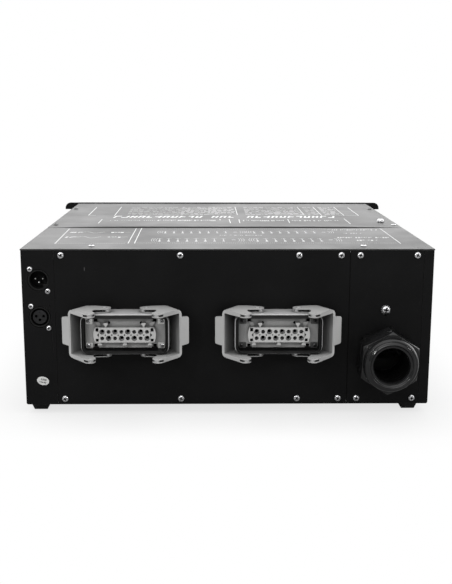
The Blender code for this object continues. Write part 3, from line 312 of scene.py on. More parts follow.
def circuit_board(name):
    """Green solder mask with the tracks showing through it."""
    n = Nodes(name)
    tracks = n.remap(n.cells(160, "DISTANCE_TO_EDGE"), 0.02, 0.05)
    colour = n.mix(tracks, (0.02, 0.09, 0.04), (0.01, 0.16, 0.06))
    speckle = n.remap(n.noise(300, 3), 0.4, 0.6, 0.6, 1)
    normal = n.bump(tracks, 0.2, 0.05 * MM)
    return n.finish(colour, n.remap(speckle, 0.6, 1, 0.35, 0.55), normal=normal)


def dark_window(name):
    """Smoked window with faint smears."""
    n = Nodes(name)
    smear = n.remap(n.noise(90, 3), 0.3, 0.7)
    colour = n.mix(smear, (0.006, 0.014, 0.016), (0.014, 0.022, 0.024))
    return n.finish(colour, n.remap(smear, 0, 1, 0.05, 0.16))


MATERIALS = {
    "black_powder_coat": powder_coat("powder_coat", (0.0022, 0.0022, 0.0023), 0.46, 0.10),
    "grey_polymer": grey_polymer("grey_polymer", (0.35, 0.35, 0.347)),
    "grey_casting": casting("grey_casting", (0.42, 0.42, 0.422)),
    "black_rubber": rubber("black_rubber"),
    "zinc_steel": plated_steel("zinc_steel"),
    "black_shell": powder_coat("black_shell", (0.003, 0.003, 0.003), 0.36, 0.22),
    "black_nylon": gloss_nylon("black_nylon"),
    "aluminium": aluminium("aluminium"),
    "circuit_board": circuit_board("circuit_board"),
    "display": dark_window("display"),
}
# A lit copy of the black powder coat for the lids: lighter and more reflective, to paint in the lids'
# bright sheen; the lids carry the same coat as the panels.
LID_COAT_LIT_COPY = powder_coat("lid_coat_lit_copy", (0.004, 0.004, 0.004), 0.5, 0.5)


def flat_ink(name, base, wear=0.5):
    """Screen-printed ink, thin in places so that the paint shows through."""
    n = Nodes(name)
    thin = n.remap(n.noise(700, 3, 0.7), 0.4, 0.75, 0, wear)
    colour = n.mix(thin, base, scaled(base, 0.45))
    return n.finish(colour, 0.5, normal=n.bump(thin, 0.1, 0.02 * MM))


ZINC = MATERIALS["zinc_steel"]
# Near-black painted shade, put in screw recesses, holes, slots, gaps, the gland bore and its seal where
# shade falls.
PAINTED_SHADE_BLACK = rubber("painted_shade_black", (0.0008, 0.0008, 0.0008), 0.8, 0.05)
CONTACT = plated_steel("contact_metal", (0.55, 0.55, 0.54), 0.3)
SOCKET_METAL = plated_steel("socket_metal", (0.45, 0.45, 0.45), 0.38)
DARK_LUG = plated_steel("dark_lug", (0.08, 0.08, 0.08), 0.4)
BLACK_PLASTIC = rubber("black_plastic", (0.0012, 0.0012, 0.0012), 0.6, 0.12)
SOCKET_FACE = rubber("socket_face", (0.0045, 0.0045, 0.005), 0.5, 0.25)
SEAL_RUBBER = gloss_nylon("seal_rubber", (0.003, 0.003, 0.003), 0.38, 0.3)
GLAND_NYLON = gloss_nylon("gland_nylon", (0.005, 0.005, 0.0052), 0.08, 0.32)
# Near-black painted shade for the inside of the connector barrels.
BARREL_SHADE = rubber("barrel_painted_shade", (0.0015, 0.0015, 0.0015), 0.6, 0.12)
PIN_METAL = plated_steel("pin_metal", (0.5, 0.5, 0.5), 0.42)
DULL_ZINC = plated_steel("dull_zinc", (0.16, 0.16, 0.16), 0.45)
INSERT_GREY = grey_polymer("insert_grey", (0.37, 0.37, 0.364))
FLANGE_GREY = grey_polymer("flange_grey", (0.42, 0.42, 0.414))
INK = flat_ink("ink", (0.62, 0.62, 0.62))
SOFT_INK = flat_ink("soft_ink", (0.55, 0.55, 0.55), 0.4)
FAINT_INK = flat_ink("faint_ink", (0.36, 0.36, 0.36), 0.4)
TABLE_INK = flat_ink("table_ink", (0.3, 0.3, 0.3), 0.4)
PAPER = flat_ink("label_paper", (0.5, 0.5, 0.49), 0.3)
MARK = flat_ink("dark_mark", (0.09, 0.09, 0.09), 0.3)
SEGMENT = flat_ink("display_segment", (0.05, 0.012, 0.01), 0.3)


# ---------------------------------------------------------------- studio

FLOOR_Z = CAD_BOUNDS[0][2]
FLOOR_HALF = 8.0
FRONT_LIGHT = 0.3
BACK_LIGHT = 2.8
TOP_LIGHT = 1.8
# Each lamp's size in metres, power in watts, place in drawing millimetres and target in the row frame.
LAMPS = {
    "key": ((1.3, 0.7), 10, (-150, 1500, 1150), (0, REAR, 0.08)),
    "small_left": ((0.07, 0.2), 4, (-700, 900, 620), (0.15, REAR, 0.06)),
    "small_right": ((0.07, 0.2), 3, (1100, 900, 420), (0.15, REAR, 0.06)),
}
# The camera in drawing millimetres, with its turn, tilt below the horizon and roll in degrees.
CAMERA_PLACE = (-19.2, 969.5, 323.8)
CAMERA_TURN, CAMERA_TILT, CAMERA_ROLL = -1.003, 11.565, 0.156
SENSOR_WIDTH, FOCAL_LENGTH = 36, 56.97


def add_light(name, size, energy, place, target):
    """A rectangular area lamp aimed at its target."""
    lamp = bpy.data.lights.new(name, "AREA")
    lamp.shape = "RECTANGLE"
    lamp.size, lamp.size_y = size
    lamp.energy = energy
    obj = bpy.data.objects.new(name, lamp)
    obj.location = place
    obj.rotation_euler = (Vector(target) - Vector(place)).to_track_quat("-Z", "Y").to_euler()
    bpy.context.scene.collection.objects.link(obj)


def sky():
    """Surround light by direction: strong and low behind the box, even overhead, weak in front."""
    world = bpy.data.worlds.new("surround")
    bpy.context.scene.world = world
    n = Nodes("surround", world)
    away = n.add("ShaderNodeSeparateXYZ")
    n.wire(n.coordinates["Generated"], away.inputs[0])
    behind = n.remap(away.outputs["Y"], -0.25, 0.6, FRONT_LIGHT, BACK_LIGHT)
    height = n.remap(away.outputs["Z"], 0.3, 0.85)
    lit = n.mix(height, n.grey(behind), (TOP_LIGHT,) * 3)
    seen = n.add("ShaderNodeLightPath").outputs["Is Camera Ray"]
    background = n.tree.nodes["Background"]
    n.wire(n.mix(seen, lit, (1.0, 1.0, 1.0)), background.inputs["Color"])


def build_studio():
    """A floor that looks white with a faint painted contact shadow, but throws little light back, and the
    lamps.
    """
    n = Nodes("pale_floor")
    tone = n.remap(n.noise(3, 2), 0.3, 0.7, 0.98, 1.0)
    n.finish(n.mix(tone, (0.26, 0.26, 0.26), (0.3, 0.3, 0.3)), 0.7, Specular_IOR_Level=0.2)
    glow = n.add("ShaderNodeEmission")
    # Painted contact shadow: the floor's glow is dimmed by ambient occlusion near the box.
    n.wire(n.remap(n.occlusion(90), 0, 1, 0.72, 1.0), glow.inputs["Strength"])
    both = n.add("ShaderNodeMixShader")
    n.wire(n.add("ShaderNodeLightPath").outputs["Is Camera Ray"], both.inputs[0])
    n.wire(n.shader.outputs[0], both.inputs[1])
    n.wire(glow.outputs[0], both.inputs[2])
    n.wire(both.outputs[0], n.tree.nodes["Material Output"].inputs["Surface"])
    mesh = bpy.data.meshes.new("floor")
    corners = rectangle(-FLOOR_HALF, -FLOOR_HALF, FLOOR_HALF, FLOOR_HALF)
    mesh.from_pydata([(x, y, FLOOR_Z) for x, y in corners], [], [(0, 1, 2, 3)])
    mesh.materials.append(n.material)
    floor = bpy.data.objects.new("floor", mesh)
    bpy.context.scene.collection.objects.link(floor)
    sky()
    for name, (size, energy, place, target) in LAMPS.items():
        add_light(name, size, energy, TO_ROW @ Vector(place), target)
    bpy.context.scene.view_settings.view_transform = "Standard"


def build_camera():
    """The viewpoint: in front of the connector side, slightly above the cover."""
    lens = bpy.data.cameras.new("camera")
    lens.sensor_width = SENSOR_WIDTH
    lens.lens = FOCAL_LENGTH
    camera = bpy.data.objects.new("camera", lens)
    turn = Matrix.Rotation(math.radians(CAMERA_TURN), 4, "Z")
    tilt = Matrix.Rotation(math.radians(90 - CAMERA_TILT), 4, "X")
    roll = Matrix.Rotation(math.radians(CAMERA_ROLL), 4, "Z")
    camera.matrix_world = Matrix.Translation(TO_ROW @ Vector(CAMERA_PLACE)) @ turn @ tilt @ roll
    bpy.context.scene.collection.objects.link(camera)
    bpy.context.scene.camera = camera


# ---------------------------------------------------------------- shapes


def arc(centre, radius, start, end, steps):
    angles = [math.radians(start + (end - start) * i / steps) for i in range(steps + 1)]
    return [(centre[0] + radius * math.cos(a), centre[1] + radius * math.sin(a)) for a in angles]


def circle(centre, radius, steps=24):
    return arc(centre, radius, 0, 360, steps)[:-1]


def rectangle(x0, z0, x1, z1):
    return [(x0, z0), (x1, z0), (x1, z1), (x0, z1)]


def rounded(centre, width, height, radius, steps=6):
    x, z = width / 2 - radius, height / 2 - radius
    points = []
    for sx, sz, start in ((1, 1, 0), (-1, 1, 90), (-1, -1, 180), (1, -1, 270)):
        points += arc((centre[0] + sx * x, centre[1] + sz * z), radius, start, start + 90, steps)
    return points


def placed(loop, dx, dz, side=1):
    """A loop moved, and mirrored left to right when side is -1."""
    return [(side * x + dx, z + dz) for x, z in loop]


class Shape:
    """Collects solids in drawing millimetres, then becomes one piece that rides on a body."""

    def __init__(self):
        self.mesh = bmesh.new()
        self.materials = []

    def slot(self, material):
        if material not in self.materials:
            self.materials.append(material)
        return self.materials.index(material)

    def face(self, corners, slot):
        corners = list(dict.fromkeys(corners))
        if len(corners) > 2:
            self.mesh.faces.new(corners).material_index = slot

    def prism(self, loops, low, high, material, axis="out"):
        """An outline with holes, from low to high: in (x, z) for out, (x, out) for up, (out, z) for x."""
        slot = self.slot(material)
        order = {"out": (0, 2, 1), "up": (0, 1, 2), "x": (2, 0, 1)}[axis]
        ends = []
        for level in (low, high):
            points = [(u, v, level) for loop in loops for u, v in loop]
            ends.append([self.mesh.verts.new([p[i] for i in order]) for p in points])
        for triangle in tessellate_polygon([[Vector((u, v, 0)) for u, v in loop] for loop in loops]):
            for corners in ends:
                self.face([corners[i] for i in triangle], slot)
        start = 0
        for loop in loops:
            for i in range(len(loop)):
                near, far = start + i, start + (i + 1) % len(loop)
                self.face((ends[0][near], ends[0][far], ends[1][far], ends[1][near]), slot)
            start += len(loop)
        return self

    def box(self, low, high, material):
        return self.prism([rectangle(low[0], low[1], high[0], high[1])], low[2], high[2], material, "up")

    def skin(self, loops, material, ring=False):
        """Faces between successive loops of points; a loop may shrink to one point."""
        slot = self.slot(material)
        rings = [[self.mesh.verts.new(point) for point in loop] for loop in loops]
        for upper, lower in zip(rings, rings[1:] + rings[:1] if ring else rings[1:]):
            for i in range(max(len(upper), len(lower))):
                corners = (upper[i % len(upper)], upper[(i + 1) % len(upper)])
                self.face(corners + (lower[(i + 1) % len(lower)], lower[i % len(lower)]), slot)
        return self

    def lathe(self, profile, centre, towards, material, steps=48, ring=False):
        """A profile of (radius, height) points turned about an axis through the centre."""
        turn = Vector(UP).rotation_difference(Vector(towards)).to_matrix()
        loops = []
        for radius, height in profile:
            flat = circle((0, 0), radius, steps) if radius > 0 else [(0, 0)]
            loops.append([Vector(centre) + turn @ Vector((u, v, height)) for u, v in flat])
        return self.skin(loops, material, ring)

    def stamp(self, template, matrix):
        """Adds a copy of a ready mesh, with its materials."""
        slots = [self.slot(material) for material in template.materials]
        verts, faces = len(self.mesh.verts), len(self.mesh.faces)
        self.mesh.from_mesh(template)
        self.mesh.verts.ensure_lookup_table()
        self.mesh.faces.ensure_lookup_table()
        bmesh.ops.transform(self.mesh, matrix=matrix, verts=self.mesh.verts[verts:])
        for face in self.mesh.faces[faces:]:
            face.material_index = slots[face.material_index]
        return self

    def helper(self, matrix=Matrix.Identity(4)):
        """Ends the drawing as a plain object, used as a cutter or a template."""
        bmesh.ops.transform(self.mesh, matrix=matrix, verts=self.mesh.verts)
        bmesh.ops.recalc_face_normals(self.mesh, faces=self.mesh.faces)
        mesh = bpy.data.meshes.new("helper")
        self.mesh.to_mesh(mesh)
        self.mesh.free()
        for material in self.materials:
            mesh.materials.append(material)
        obj = bpy.data.objects.new("helper", mesh)
        bpy.context.scene.collection.objects.link(obj)
        return obj

    def piece(self, name, slot, body=ROOT, replaces=(), bevel=0.0, matrix=TO_ROW):
        """Ends the drawing as a named piece in the row frame that rides on a body."""
        obj = self.helper(matrix)
        obj.name = name
        obj.data.name = name
        obj.data.shade_smooth()
        if bevel:
            add_bevel(obj, bevel)
        else:
            obj.data.set_sharp_from_angle(angle=SMOOTH_ANGLE)
        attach(obj, body)
        if replaces:
            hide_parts(*replaces)


def add_bevel(obj, width, segments=2, limit=40):
    """Softens edges that turn by more than the limit in degrees; the width is in millimetres."""
    bevel = obj.modifiers.new("edges", "BEVEL")
    bevel.width = width * MM
    bevel.segments = segments
    bevel.limit_method = "ANGLE"
    bevel.angle_limit = math.radians(limit)
    bevel.harden_normals = True


def add_cut(obj, cutter, operation="DIFFERENCE"):
    """A live Boolean with a cutter that isn't shown."""
    cutter.hide_render = True
    cutter.hide_viewport = True
    cut = obj.modifiers.new("cut", "BOOLEAN")
    cut.operation = operation
    cut.solver = "EXACT"
    cut.material_mode = "TRANSFER"
    cut.object = cutter


def applied(obj, *helpers):
    """The object's mesh with its modifiers applied; the object and its helpers go."""
    bpy.context.view_layer.update()
    graph = bpy.context.evaluated_depsgraph_get()
    mesh = bpy.data.meshes.new_from_object(obj.evaluated_get(graph))
    for gone in (obj, *helpers):
        bpy.data.objects.remove(gone)
    return mesh


# ---------------------------------------------------------------- screws and rails


def screw_template(radius, height, recess=0.56, metal=ZINC):
    """A pan head with a cross recess, its underside at the origin and its axis along +Z."""
    profile = [(0, height), (radius * 0.45, height * 0.98), (radius * 0.72, height * 0.87)]
    profile += [(radius * 0.9, height * 0.62), (radius, height * 0.3), (radius, 0), (0, 0)]
    head = Shape().lathe(profile, (0, 0, 0), UP, metal, 32).helper()
    wide, long = radius * 0.16, radius * recess
    cutters = []
    for x, y in ((long, wide), (wide, long)):
        # The cross recess walls take the near-black painted shade.
        cutters.append(Shape().box((-x, -y, height * 0.3), (x, y, height + 1), PAINTED_SHADE_BLACK).helper())
        add_cut(head, cutters[-1])
    return applied(head, *cutters)


def facing(place, towards, turn):
    """Where a template goes: its +Z towards a direction, turned about it by some degrees."""
    aim = Vector(UP).rotation_difference(Vector(towards)).to_matrix().to_4x4()
    return Matrix.Translation(place) @ aim @ Matrix.Rotation(math.radians(turn), 4, "Z")


PANEL_SCREW = screw_template(3.6, 2.0)
LID_SCREW = screw_template(3.2, 1.3)
DULL_LID_SCREW = screw_template(3.2, 1.3, metal=DULL_ZINC)
DOME_SCREW = screw_template(4.15, 3.2, 0.3)
XLR_SCREW = screw_template(3.0, 1.9)
EARTH_SCREW = screw_template(4.75, 3.2)
LUG_SCREW = screw_template(2.2, 1.4)
DARK_SCREW = screw_template(2.2, 1.4, metal=DARK_LUG)


def build_rails():
    """Panel and lid rails with their cross-head screws, each turned to its own angle."""
    chance = random.Random(4)
    lid_screw_z = LID_TOP + SCREW_SEAT
    # Each rail behind the panel: its edges, depth, screw height and the places of its lid screws.
    rows = {"top": (TOP_RAIL, 24.8, 165.2, (-147, 147)), "bottom": (BOTTOM_RAIL, 11.8, 6.6, ())}
    for name, ((low, high), depth, screw_z, lid_screw_xs) in rows.items():
        rail = Shape().box((-RAIL_END, -depth, low), (RAIL_END, -1.8, high), ZINC)
        for x in PANEL_SCREW_XS:
            rail.stamp(PANEL_SCREW, facing((x, SCREW_SEAT, screw_z), OUT, chance.uniform(0, 90)))
        for x in lid_screw_xs:
            rail.stamp(LID_SCREW, facing((x, -18.5, lid_screw_z), UP, chance.uniform(0, 90)))
        node = f"rear_{name}_rail"
        rail.piece(f"{node}_and_screws", "zinc_steel", replaces=[f"{node}_with_screws"])
    for side, name in ((-1, "left"), (1, "right")):
        ends = sorted((side * (RAIL_END - SIDE_RAIL_WIDTH), side * RAIL_END))
        rail = Shape().box((ends[0], -450, TOP_RAIL[0]), (ends[1], -25.1, TOP_RAIL[1]), ZINC)
        for y in (195, 374):
            head = DULL_LID_SCREW if side < 0 or y > 300 else LID_SCREW
            rail.stamp(head, facing((side * 214, -y, lid_screw_z), UP, chance.uniform(0, 90)))
        if side > 0:
            stud = [(0, 0), (4.6, 0), (4.6, -0.9), (2, -0.9), (2, -5), (0, -5)]
            place = (202.4, -223, 173.6)
            rail.lathe(stud, place, UP, ZINC, 32)
            rail.stamp(DOME_SCREW, facing(place, UP, 20))
        node = f"side_rail_{name}"
        rail.piece(f"{node}_and_screws", "zinc_steel", replaces=[f"{node}_with_screws"])


# ---------------------------------------------------------------- signal connectors, seam and earth


def build_signal_connectors():
    """Cross-head screws and their plate, pin insert, socket insert and the key inside the input."""
    plated = MATERIALS["black_shell"]
    plate = Shape()
    cut_outs = [circle((XLR_X, z), 11.8) for z in (XLR_INPUT_Z, XLR_OUTPUT_Z)]
    plate.prism([rounded((XLR_X, 118.25), 26, 72, 2), *cut_outs], -6.1, -4.1, ZINC)
    for index, (x, z) in enumerate(((-210.7, 150.4), (-192.4, 126.4), (-210.8, 110), (-192.5, 86))):
        plate.stamp(XLR_SCREW, facing((x, SCREW_SEAT, z), OUT, 20 + 31 * index))
    plate.piece("xlr_plate_and_screws", "zinc_steel", replaces=["xlr_nut_plate_with_screws"])

    base = [(0, -13), (8.9, -13), (9.2, -13.4), (9.2, -18), (0, -18)]
    tip = [(0, -3.4), (0.6, -3.6), (0.95, -4.5), (0.95, -5.2), (0, -5.2)]
    shank = [(0, -5.1), (0.96, -5.1), (1, -13), (1.9, -13), (1.9, -14), (0, -14)]
    male = Shape().lathe(base, (XLR_X, 0, XLR_INPUT_Z), OUT, BLACK_PLASTIC)
    for dx, dz in XLR_CONTACTS:
        place = (XLR_X + dx, 0, XLR_INPUT_Z + dz)
        male.lathe(tip, place, OUT, CONTACT, 20)
        male.lathe(shank, place, OUT, DARK_LUG, 20)
    key = placed(rectangle(-1.3, -1.2, 1.3, 1.2), 6.2, -6.0)
    male.prism([placed(key, XLR_X, XLR_INPUT_Z)], -12, -1.5, plated)
    male.piece("xlr_input_pins", "black_nylon", replaces=["xlr_input_pin_insert"], bevel=0.1)

    x, z = XLR_X, XLR_OUTPUT_Z
    holes = [circle((x + dx, z + dz), 1.5, 16) for dx, dz in XLR_CONTACTS]
    female = Shape().prism([circle((x, z), 7.5, 40), *holes], -12, -0.4, SOCKET_FACE)
    female.lathe([(0, -9), (9.2, -9), (9.2, -18), (0, -18)], (x, 0, z), OUT, BLACK_PLASTIC)
    # A small near-black disc on the socket face: painted shade for a hole.
    female.prism([circle((x, z + 5.3), 0.7, 12)], -0.45, -0.3, PAINTED_SHADE_BLACK)
    female.piece("xlr_output_sockets", "black_nylon", replaces=["xlr_output_socket_insert"], bevel=0.25)

    barrel = [(9.5, -0.9), (9.9, -0.1), (10.9, 0.0), (11.3, -0.7), (11.3, -20), (9.5, -20)]
    # A thin near-black sheet lining each barrel: painted shade for its inside.
    shade_liner = [(9.49, -1.2), (9.4, -1.4), (9.4, -19), (9.49, -19)]
    for name, z in (("input", XLR_INPUT_Z), ("output", XLR_OUTPUT_Z)):
        shell = Shape().lathe(barrel, (XLR_X, 0, z), OUT, plated, 56, ring=True)
        shell.lathe(shade_liner, (XLR_X, 0, z), OUT, BARREL_SHADE, 56, ring=True)
        shell.prism([rounded((XLR_X, z), 26, 31, 3), circle((XLR_X, z), 11.2)], -3.8, -1.8, plated)
        shell.piece(f"xlr_{name}_barrel", "black_shell", replaces=[f"xlr_{name}_shell"])


def build_seam_lip():
    """The folded lip behind the joint between the middle panel and the gland panel."""
    lip = Shape().box((129, -1.79, 4), (131.8, -1.53, 168), MATERIALS["black_powder_coat"])
    lip.piece("panel_seam_lip", "black_powder_coat")


def build_earth():
    """Earth screw with a toothed washer, its cross recess and the washer's split seen below it."""
    x, z = EARTH
    angles = [math.pi * i / 14 for i in range(28)]
    radii = [4.5 + 0.8 * (i % 2) for i in range(28)]
    teeth = [(r * math.cos(a), r * math.sin(a)) for r, a in zip(radii, angles)]
    washer = Shape().prism([placed(teeth, x, z), circle((x, z), 3.2)], 0.3, 1.1, ZINC)
    # The washer's split is a near-black patch: painted shade for the gap.
    washer.prism([placed(rectangle(-0.7, -6.6, 0.7, -4.4), x, z)], 0.35, 1.4, PAINTED_SHADE_BLACK)
    washer.piece("earth_toothed_washer", "zinc_steel", replaces=["earth_star_washer"])
    screw = Shape().stamp(EARTH_SCREW, facing((x, 1.2, z), OUT, 8))
    screw.lathe([(0, 1.2), (2.9, 1.2), (2.9, -14), (0, -14)], (x, 0, z), OUT, ZINC, 24)
    screw.piece("earth_cross_screw", "zinc_steel", replaces=["earth_screw"])


# ---------------------------------------------------------------- multi-pole connectors


def build_gasket(key, x):
    """Ring of soft rubber with two rounded ridges, and a thin dark sheet inside it, painted shade for the
    housing mouth.
    """
    # Each step of its section: how far across the rim, from zero to one, and how far out.
    steps = [(0, 27.8), (0, 29.1), (0.1, 29.6), (0.26, 29.7), (0.38, 29.2), (0.5, 29.0), (0.6, 29.2)]
    steps += [(0.72, 29.7), (0.88, 29.6), (1, 29.0), (1, 27.8)]
    loops = []
    for share, out in steps:
        flat = rounded((x, CONNECTOR_Z), 85.3 + 5.6 * share, 34.8 + 6.5 * share, 3.2 + 3.9 * share)
        loops.append([(u, out, v) for u, v in flat])
    ring = Shape().skin(loops, SEAL_RUBBER, ring=True)
    centre = (x, CONNECTOR_Z)
    # A thin near-black sheet lining the housing mouth: painted shade.
    shade_skirt = [rounded(centre, 85.1, 34.6, 3.1), rounded(centre, 84.7, 34.2, 2.9)]
    ring.prism(shade_skirt, 21.6, 27.9, BLACK_PLASTIC)
    ring.piece(f"output_{key}_rim_seal", "black_rubber", replaces=[f"output_{key}_gasket"])


def contact_wells():
    """The sixteen contact holes as (dx, dz, large); large and small ones alternate along each row."""
    wells = []
    for column in range(8):
        for row in (1, -1):
            large = (column + (row < 0)) % 2 == 0
            wells.append(((column - 3.5) * CONTACT_PITCH, row * CONTACT_ROW, large))
    return wells


def build_insert(key, x, lug):
    """Sixteen-way insert: flange, contact block with sleeves, end cheeks, guide tabs and corner screws."""
    z = CONNECTOR_Z
    body = Shape()
    notches = (rectangle(29.2, 12.2, 33, 16.4), rectangle(29.2, -16.4, 33, -11.6))
    gaps = [placed(notch, x, z, side) for side in (-1, 1) for notch in notches]
    body.prism([rounded((x, z), 84.4, 33.9, 2), *gaps], 18, 19.6, BLACK_PLASTIC)
    body.prism([rounded((x, z), 84.2, 33.2, 2), *gaps], 19.5, 21, FLANGE_GREY)
    body.prism([rectangle(x - 42.3, z - 17.1, x + 42.3, z - 14.7)], 20.8, 21.5, BLACK_PLASTIC)
    body.prism([rounded((x, z), 78, 31, 2)], 12, 16, BLACK_PLASTIC)
    body.prism([rounded((x, z + 0.4), 56, 31.6, 1)], 20, 22, FLANGE_GREY)
    body.prism([rounded((x, z), 68, 28, 1.5, 2)], -16, 12, FLANGE_GREY)
    wells = [circle((x + dx, z + dz), 2.85 if large else 2.05, 20) for dx, dz, large in contact_wells()]
    dots = [circle((x + (i - 3) * CONTACT_PITCH, z), 0.8, 8) for i in range(7)]
    body.prism([rounded((x, z), 53.6, 16, 1.1, 3), *wells, *dots], 23, 30, INSERT_GREY)
    body.prism([rounded((x, z), 54.6, 17, 1.4, 3)], 21, 23.2, INSERT_GREY)
    # A thin near-black sheet under the block: painted shade at the bottom of the contact holes.
    body.prism([rounded((x, z), 51, 13.4, 1, 3)], 23.1, 23.3, PAINTED_SHADE_BLACK)
    for side in (-1, 1):
        cheek = arc((15.5, 0), 17.2, -27, 27, 12) + [(26.1, 8.4), (26.1, -8.4)]
        slots = [rectangle(27.3, 3.7, 30.3, 7.5), rectangle(27.3, -7.1, 30.3, -4.0)]
        slots += [[(26.3, -2.9), (28.8, 0), (26.3, 2.9)]]
        loops = [placed(loop, x, z, side) for loop in (cheek, *slots)]
        body.prism(loops, 22, 29.6, INSERT_GREY)
        # A near-black block behind each cheek: painted shade seen through its slots.
        body.prism([placed(rectangle(26.2, -7.5, 30.8, 7.5), x, z, side)], 21.5, 28.4, PAINTED_SHADE_BLACK)
        web = [(25.6, 8), (29, 8), (31.4, 13), (26, 12)]
        body.prism([placed(web, x, z, side)], 20.5, 23.5, FLANGE_GREY)
    tab_up = [(-0.9, 7.6), (0.9, 7.6), (0.9, 9.6), (2.2, 11)]
    tab_up += [(2.2, 12.6), (-2.2, 12.6), (-2.2, 11), (-0.9, 9.6)]
    tab_down = [(u, -0.9 * v) for u, v in tab_up]
    for dx in (-19.8, 19.8):
        body.prism([placed(tab_up, x + dx, z)], 22, 28.6, INSERT_GREY)
        inwards = 2.9 if dx < 0 else -2.9
        # Small near-black discs beside the guide tabs: painted shade.
        body.prism([circle((x + dx + inwards, z + 11.6), 1.5, 16)], 21.6, 22.08, PAINTED_SHADE_BLACK)
    for dx in (-26.2, 0, 26.2):
        body.prism([placed(tab_down, x + dx, z)], 22, 28.6, INSERT_GREY)
    body.piece(f"output_{key}_pole_block", "grey_polymer", replaces=[f"output_{key}_insert"], bevel=0.22)

    metal = Shape()
    for dx, dz, large in contact_wells():
        place = (x + dx, 0, z + dz)
        outer, inner, top = (2.75, 1.75, 26.2) if large else (1.95, 1.3, 23.9)
        sleeve = [(outer, top), (outer, 23.3), (inner, 23.3), (inner, top - 0.3), (inner + 0.3, top)]
        metal.lathe(sleeve, place, OUT, SOCKET_METAL, 20, ring=True)
    metal.piece(f"output_{key}_contacts", "zinc_steel")

    lugs = Shape()
    head = LUG_SCREW if lug is CONTACT else DARK_SCREW
    for side in (-1, 1):
        for end in (-1, 1):
            loop = rounded((37.8, end * 13.1), 7.2, 6.2, 0.8, 3)
            lugs.prism([placed(loop, x, z, side)], 21, 21.9, lug)
            lugs.stamp(head, facing((x + side * 38.6, 21.9, z + end * 13.3), OUT, 35))
    lugs.piece(f"output_{key}_lugs", "zinc_steel", bevel=0.15)


def lever_frame(key, side):
    """From a closed lever's own drawing, about its pivot, to the row frame: x along it, y out, z up."""
    place = Matrix.Translation((CONNECTORS[key] + side * PIVOT[0], PIVOT[1], CONNECTOR_Z))
    swing = Matrix.Rotation(-side * LEVER_SWING, 4, "Z")
    return TO_ROW @ place @ swing @ Matrix.Diagonal((-side, 1, 1, 1))


def build_lever_details(key, side, name):
    """The slot over the pivot of each arm, and the steel pins at its pivot and its hook."""
    node = f"output_{key}_lever_{name}"
    frame_of = lever_frame(key, side)
    slots = Shape()
    for z in (-LEVER_ARM_Z, LEVER_ARM_Z):
        slots.prism([PIVOT_SLOT], z - 1.1, z + 1.1, MATERIALS["black_nylon"], "up")
    cutter = slots.helper(frame_of)
    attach(cutter, node)
    lever = NODES[node]
    add_cut(lever, cutter)
    pins = Shape()
    for z in (-LEVER_ARM_Z, LEVER_ARM_Z):
        for place, radius, half in ((HOOK_PIN, 3, 1.9), (PIVOT_PIN, 2.1, 1.05)):
            pin = [(0, half), (radius, half), (radius, -half), (0, -half)]
            pins.lathe(pin, (*place, z), UP, PIN_METAL, 28)
    pins.piece(f"{node}_pins", "zinc_steel", node, matrix=frame_of)


def build_connectors():
    """Both outlets; the second has dark lugs."""
    for key, x in CONNECTORS.items():
        build_gasket(key, x)
        build_insert(key, x, CONTACT if key == "a" else DARK_LUG)
        build_lever_details(key, -1, "left")
        build_lever_details(key, 1, "right")


# ---------------------------------------------------------------- cable gland


def build_gland():
    """Dome nut: a hexagon trimmed by a cone, with a rounded, grooved rim about a bore lined with painted
    shade.
    """
    x, z = GLAND
    centre = (x, 0, z)
    hexagon = placed(arc((0, 0), GLAND_HEX_RADIUS, GLAND_HEX_TURN, GLAND_HEX_TURN + 300, 5), x, z)
    core = Shape().prism([hexagon], 9.8, 36, GLAND_NYLON).helper()
    cone = [(0, 60), (28.4, 60), (28.4, 37.4), (29.3, 36), (31.6, 35.8), (36.5, 31.6), (36.5, 5), (0, 5)]
    outside = Shape().lathe(cone, centre, OUT, GLAND_NYLON, 96).helper()
    add_cut(core, outside, "INTERSECT")
    bore = [(0, 37), (21.5, 37), (21.5, 30.6), (25.2, 27), (25.2, 5), (0, 5)]
    inside = Shape().lathe(bore, centre, OUT, GLAND_NYLON, 96).helper()
    add_cut(core, inside)
    add_bevel(core, 0.5 / MM, 3, 25)  # this helper is drawn in millimetres
    nut = Shape().stamp(applied(core, outside, inside), Matrix.Identity(4))
    dome = [(29.3, 34.5), (29.35, 37.6), (28.9, 40.4), (28.1, 42.4), (27.3, 43.5), (26.7, 44.0)]
    dome += [(26.2, 43.9), (25.6, 43.9), (24.9, 44.6), (24.0, 45.3), (23.3, 45.7), (22.8, 45.5)]
    dome += [(22.4, 44.8), (21.6, 43.8), (20.7, 43.4), (20.1, 43.7), (19.7, 43.6), (19.2, 42.8)]
    dome += [(18.7, 41), (18.7, 31.5), (21.5, 30.6), (24, 32)]
    nut.lathe(dome, centre, OUT, GLAND_NYLON, 128, ring=True)
    # A thin near-black sheet lining the bore: painted shade.
    shade_liner = [(18.69, 40.6), (18.5, 40.2), (18.5, 32), (18.69, 32)]
    nut.lathe(shade_liner, centre, OUT, PAINTED_SHADE_BLACK, 96, ring=True)
    nut.piece("gland_nut_finished", "black_nylon", "gland_dome_nut", replaces=["gland_dome_nut"])


# ---------------------------------------------------------------- print, label and marks

LIDS = [NODES["top_cover_rear"], NODES["top_cover_front"]]
INK_LIFT = 0.07
PATCH_LENGTH = 12
DASH_SHARE = 0.55
TITLE_PITCH = 11
CIRCUIT_PITCH = 10.3
LABEL_PLACE = Vector((-201.1, 26.8))
DISPLAY_PLACE = (-170, 128)


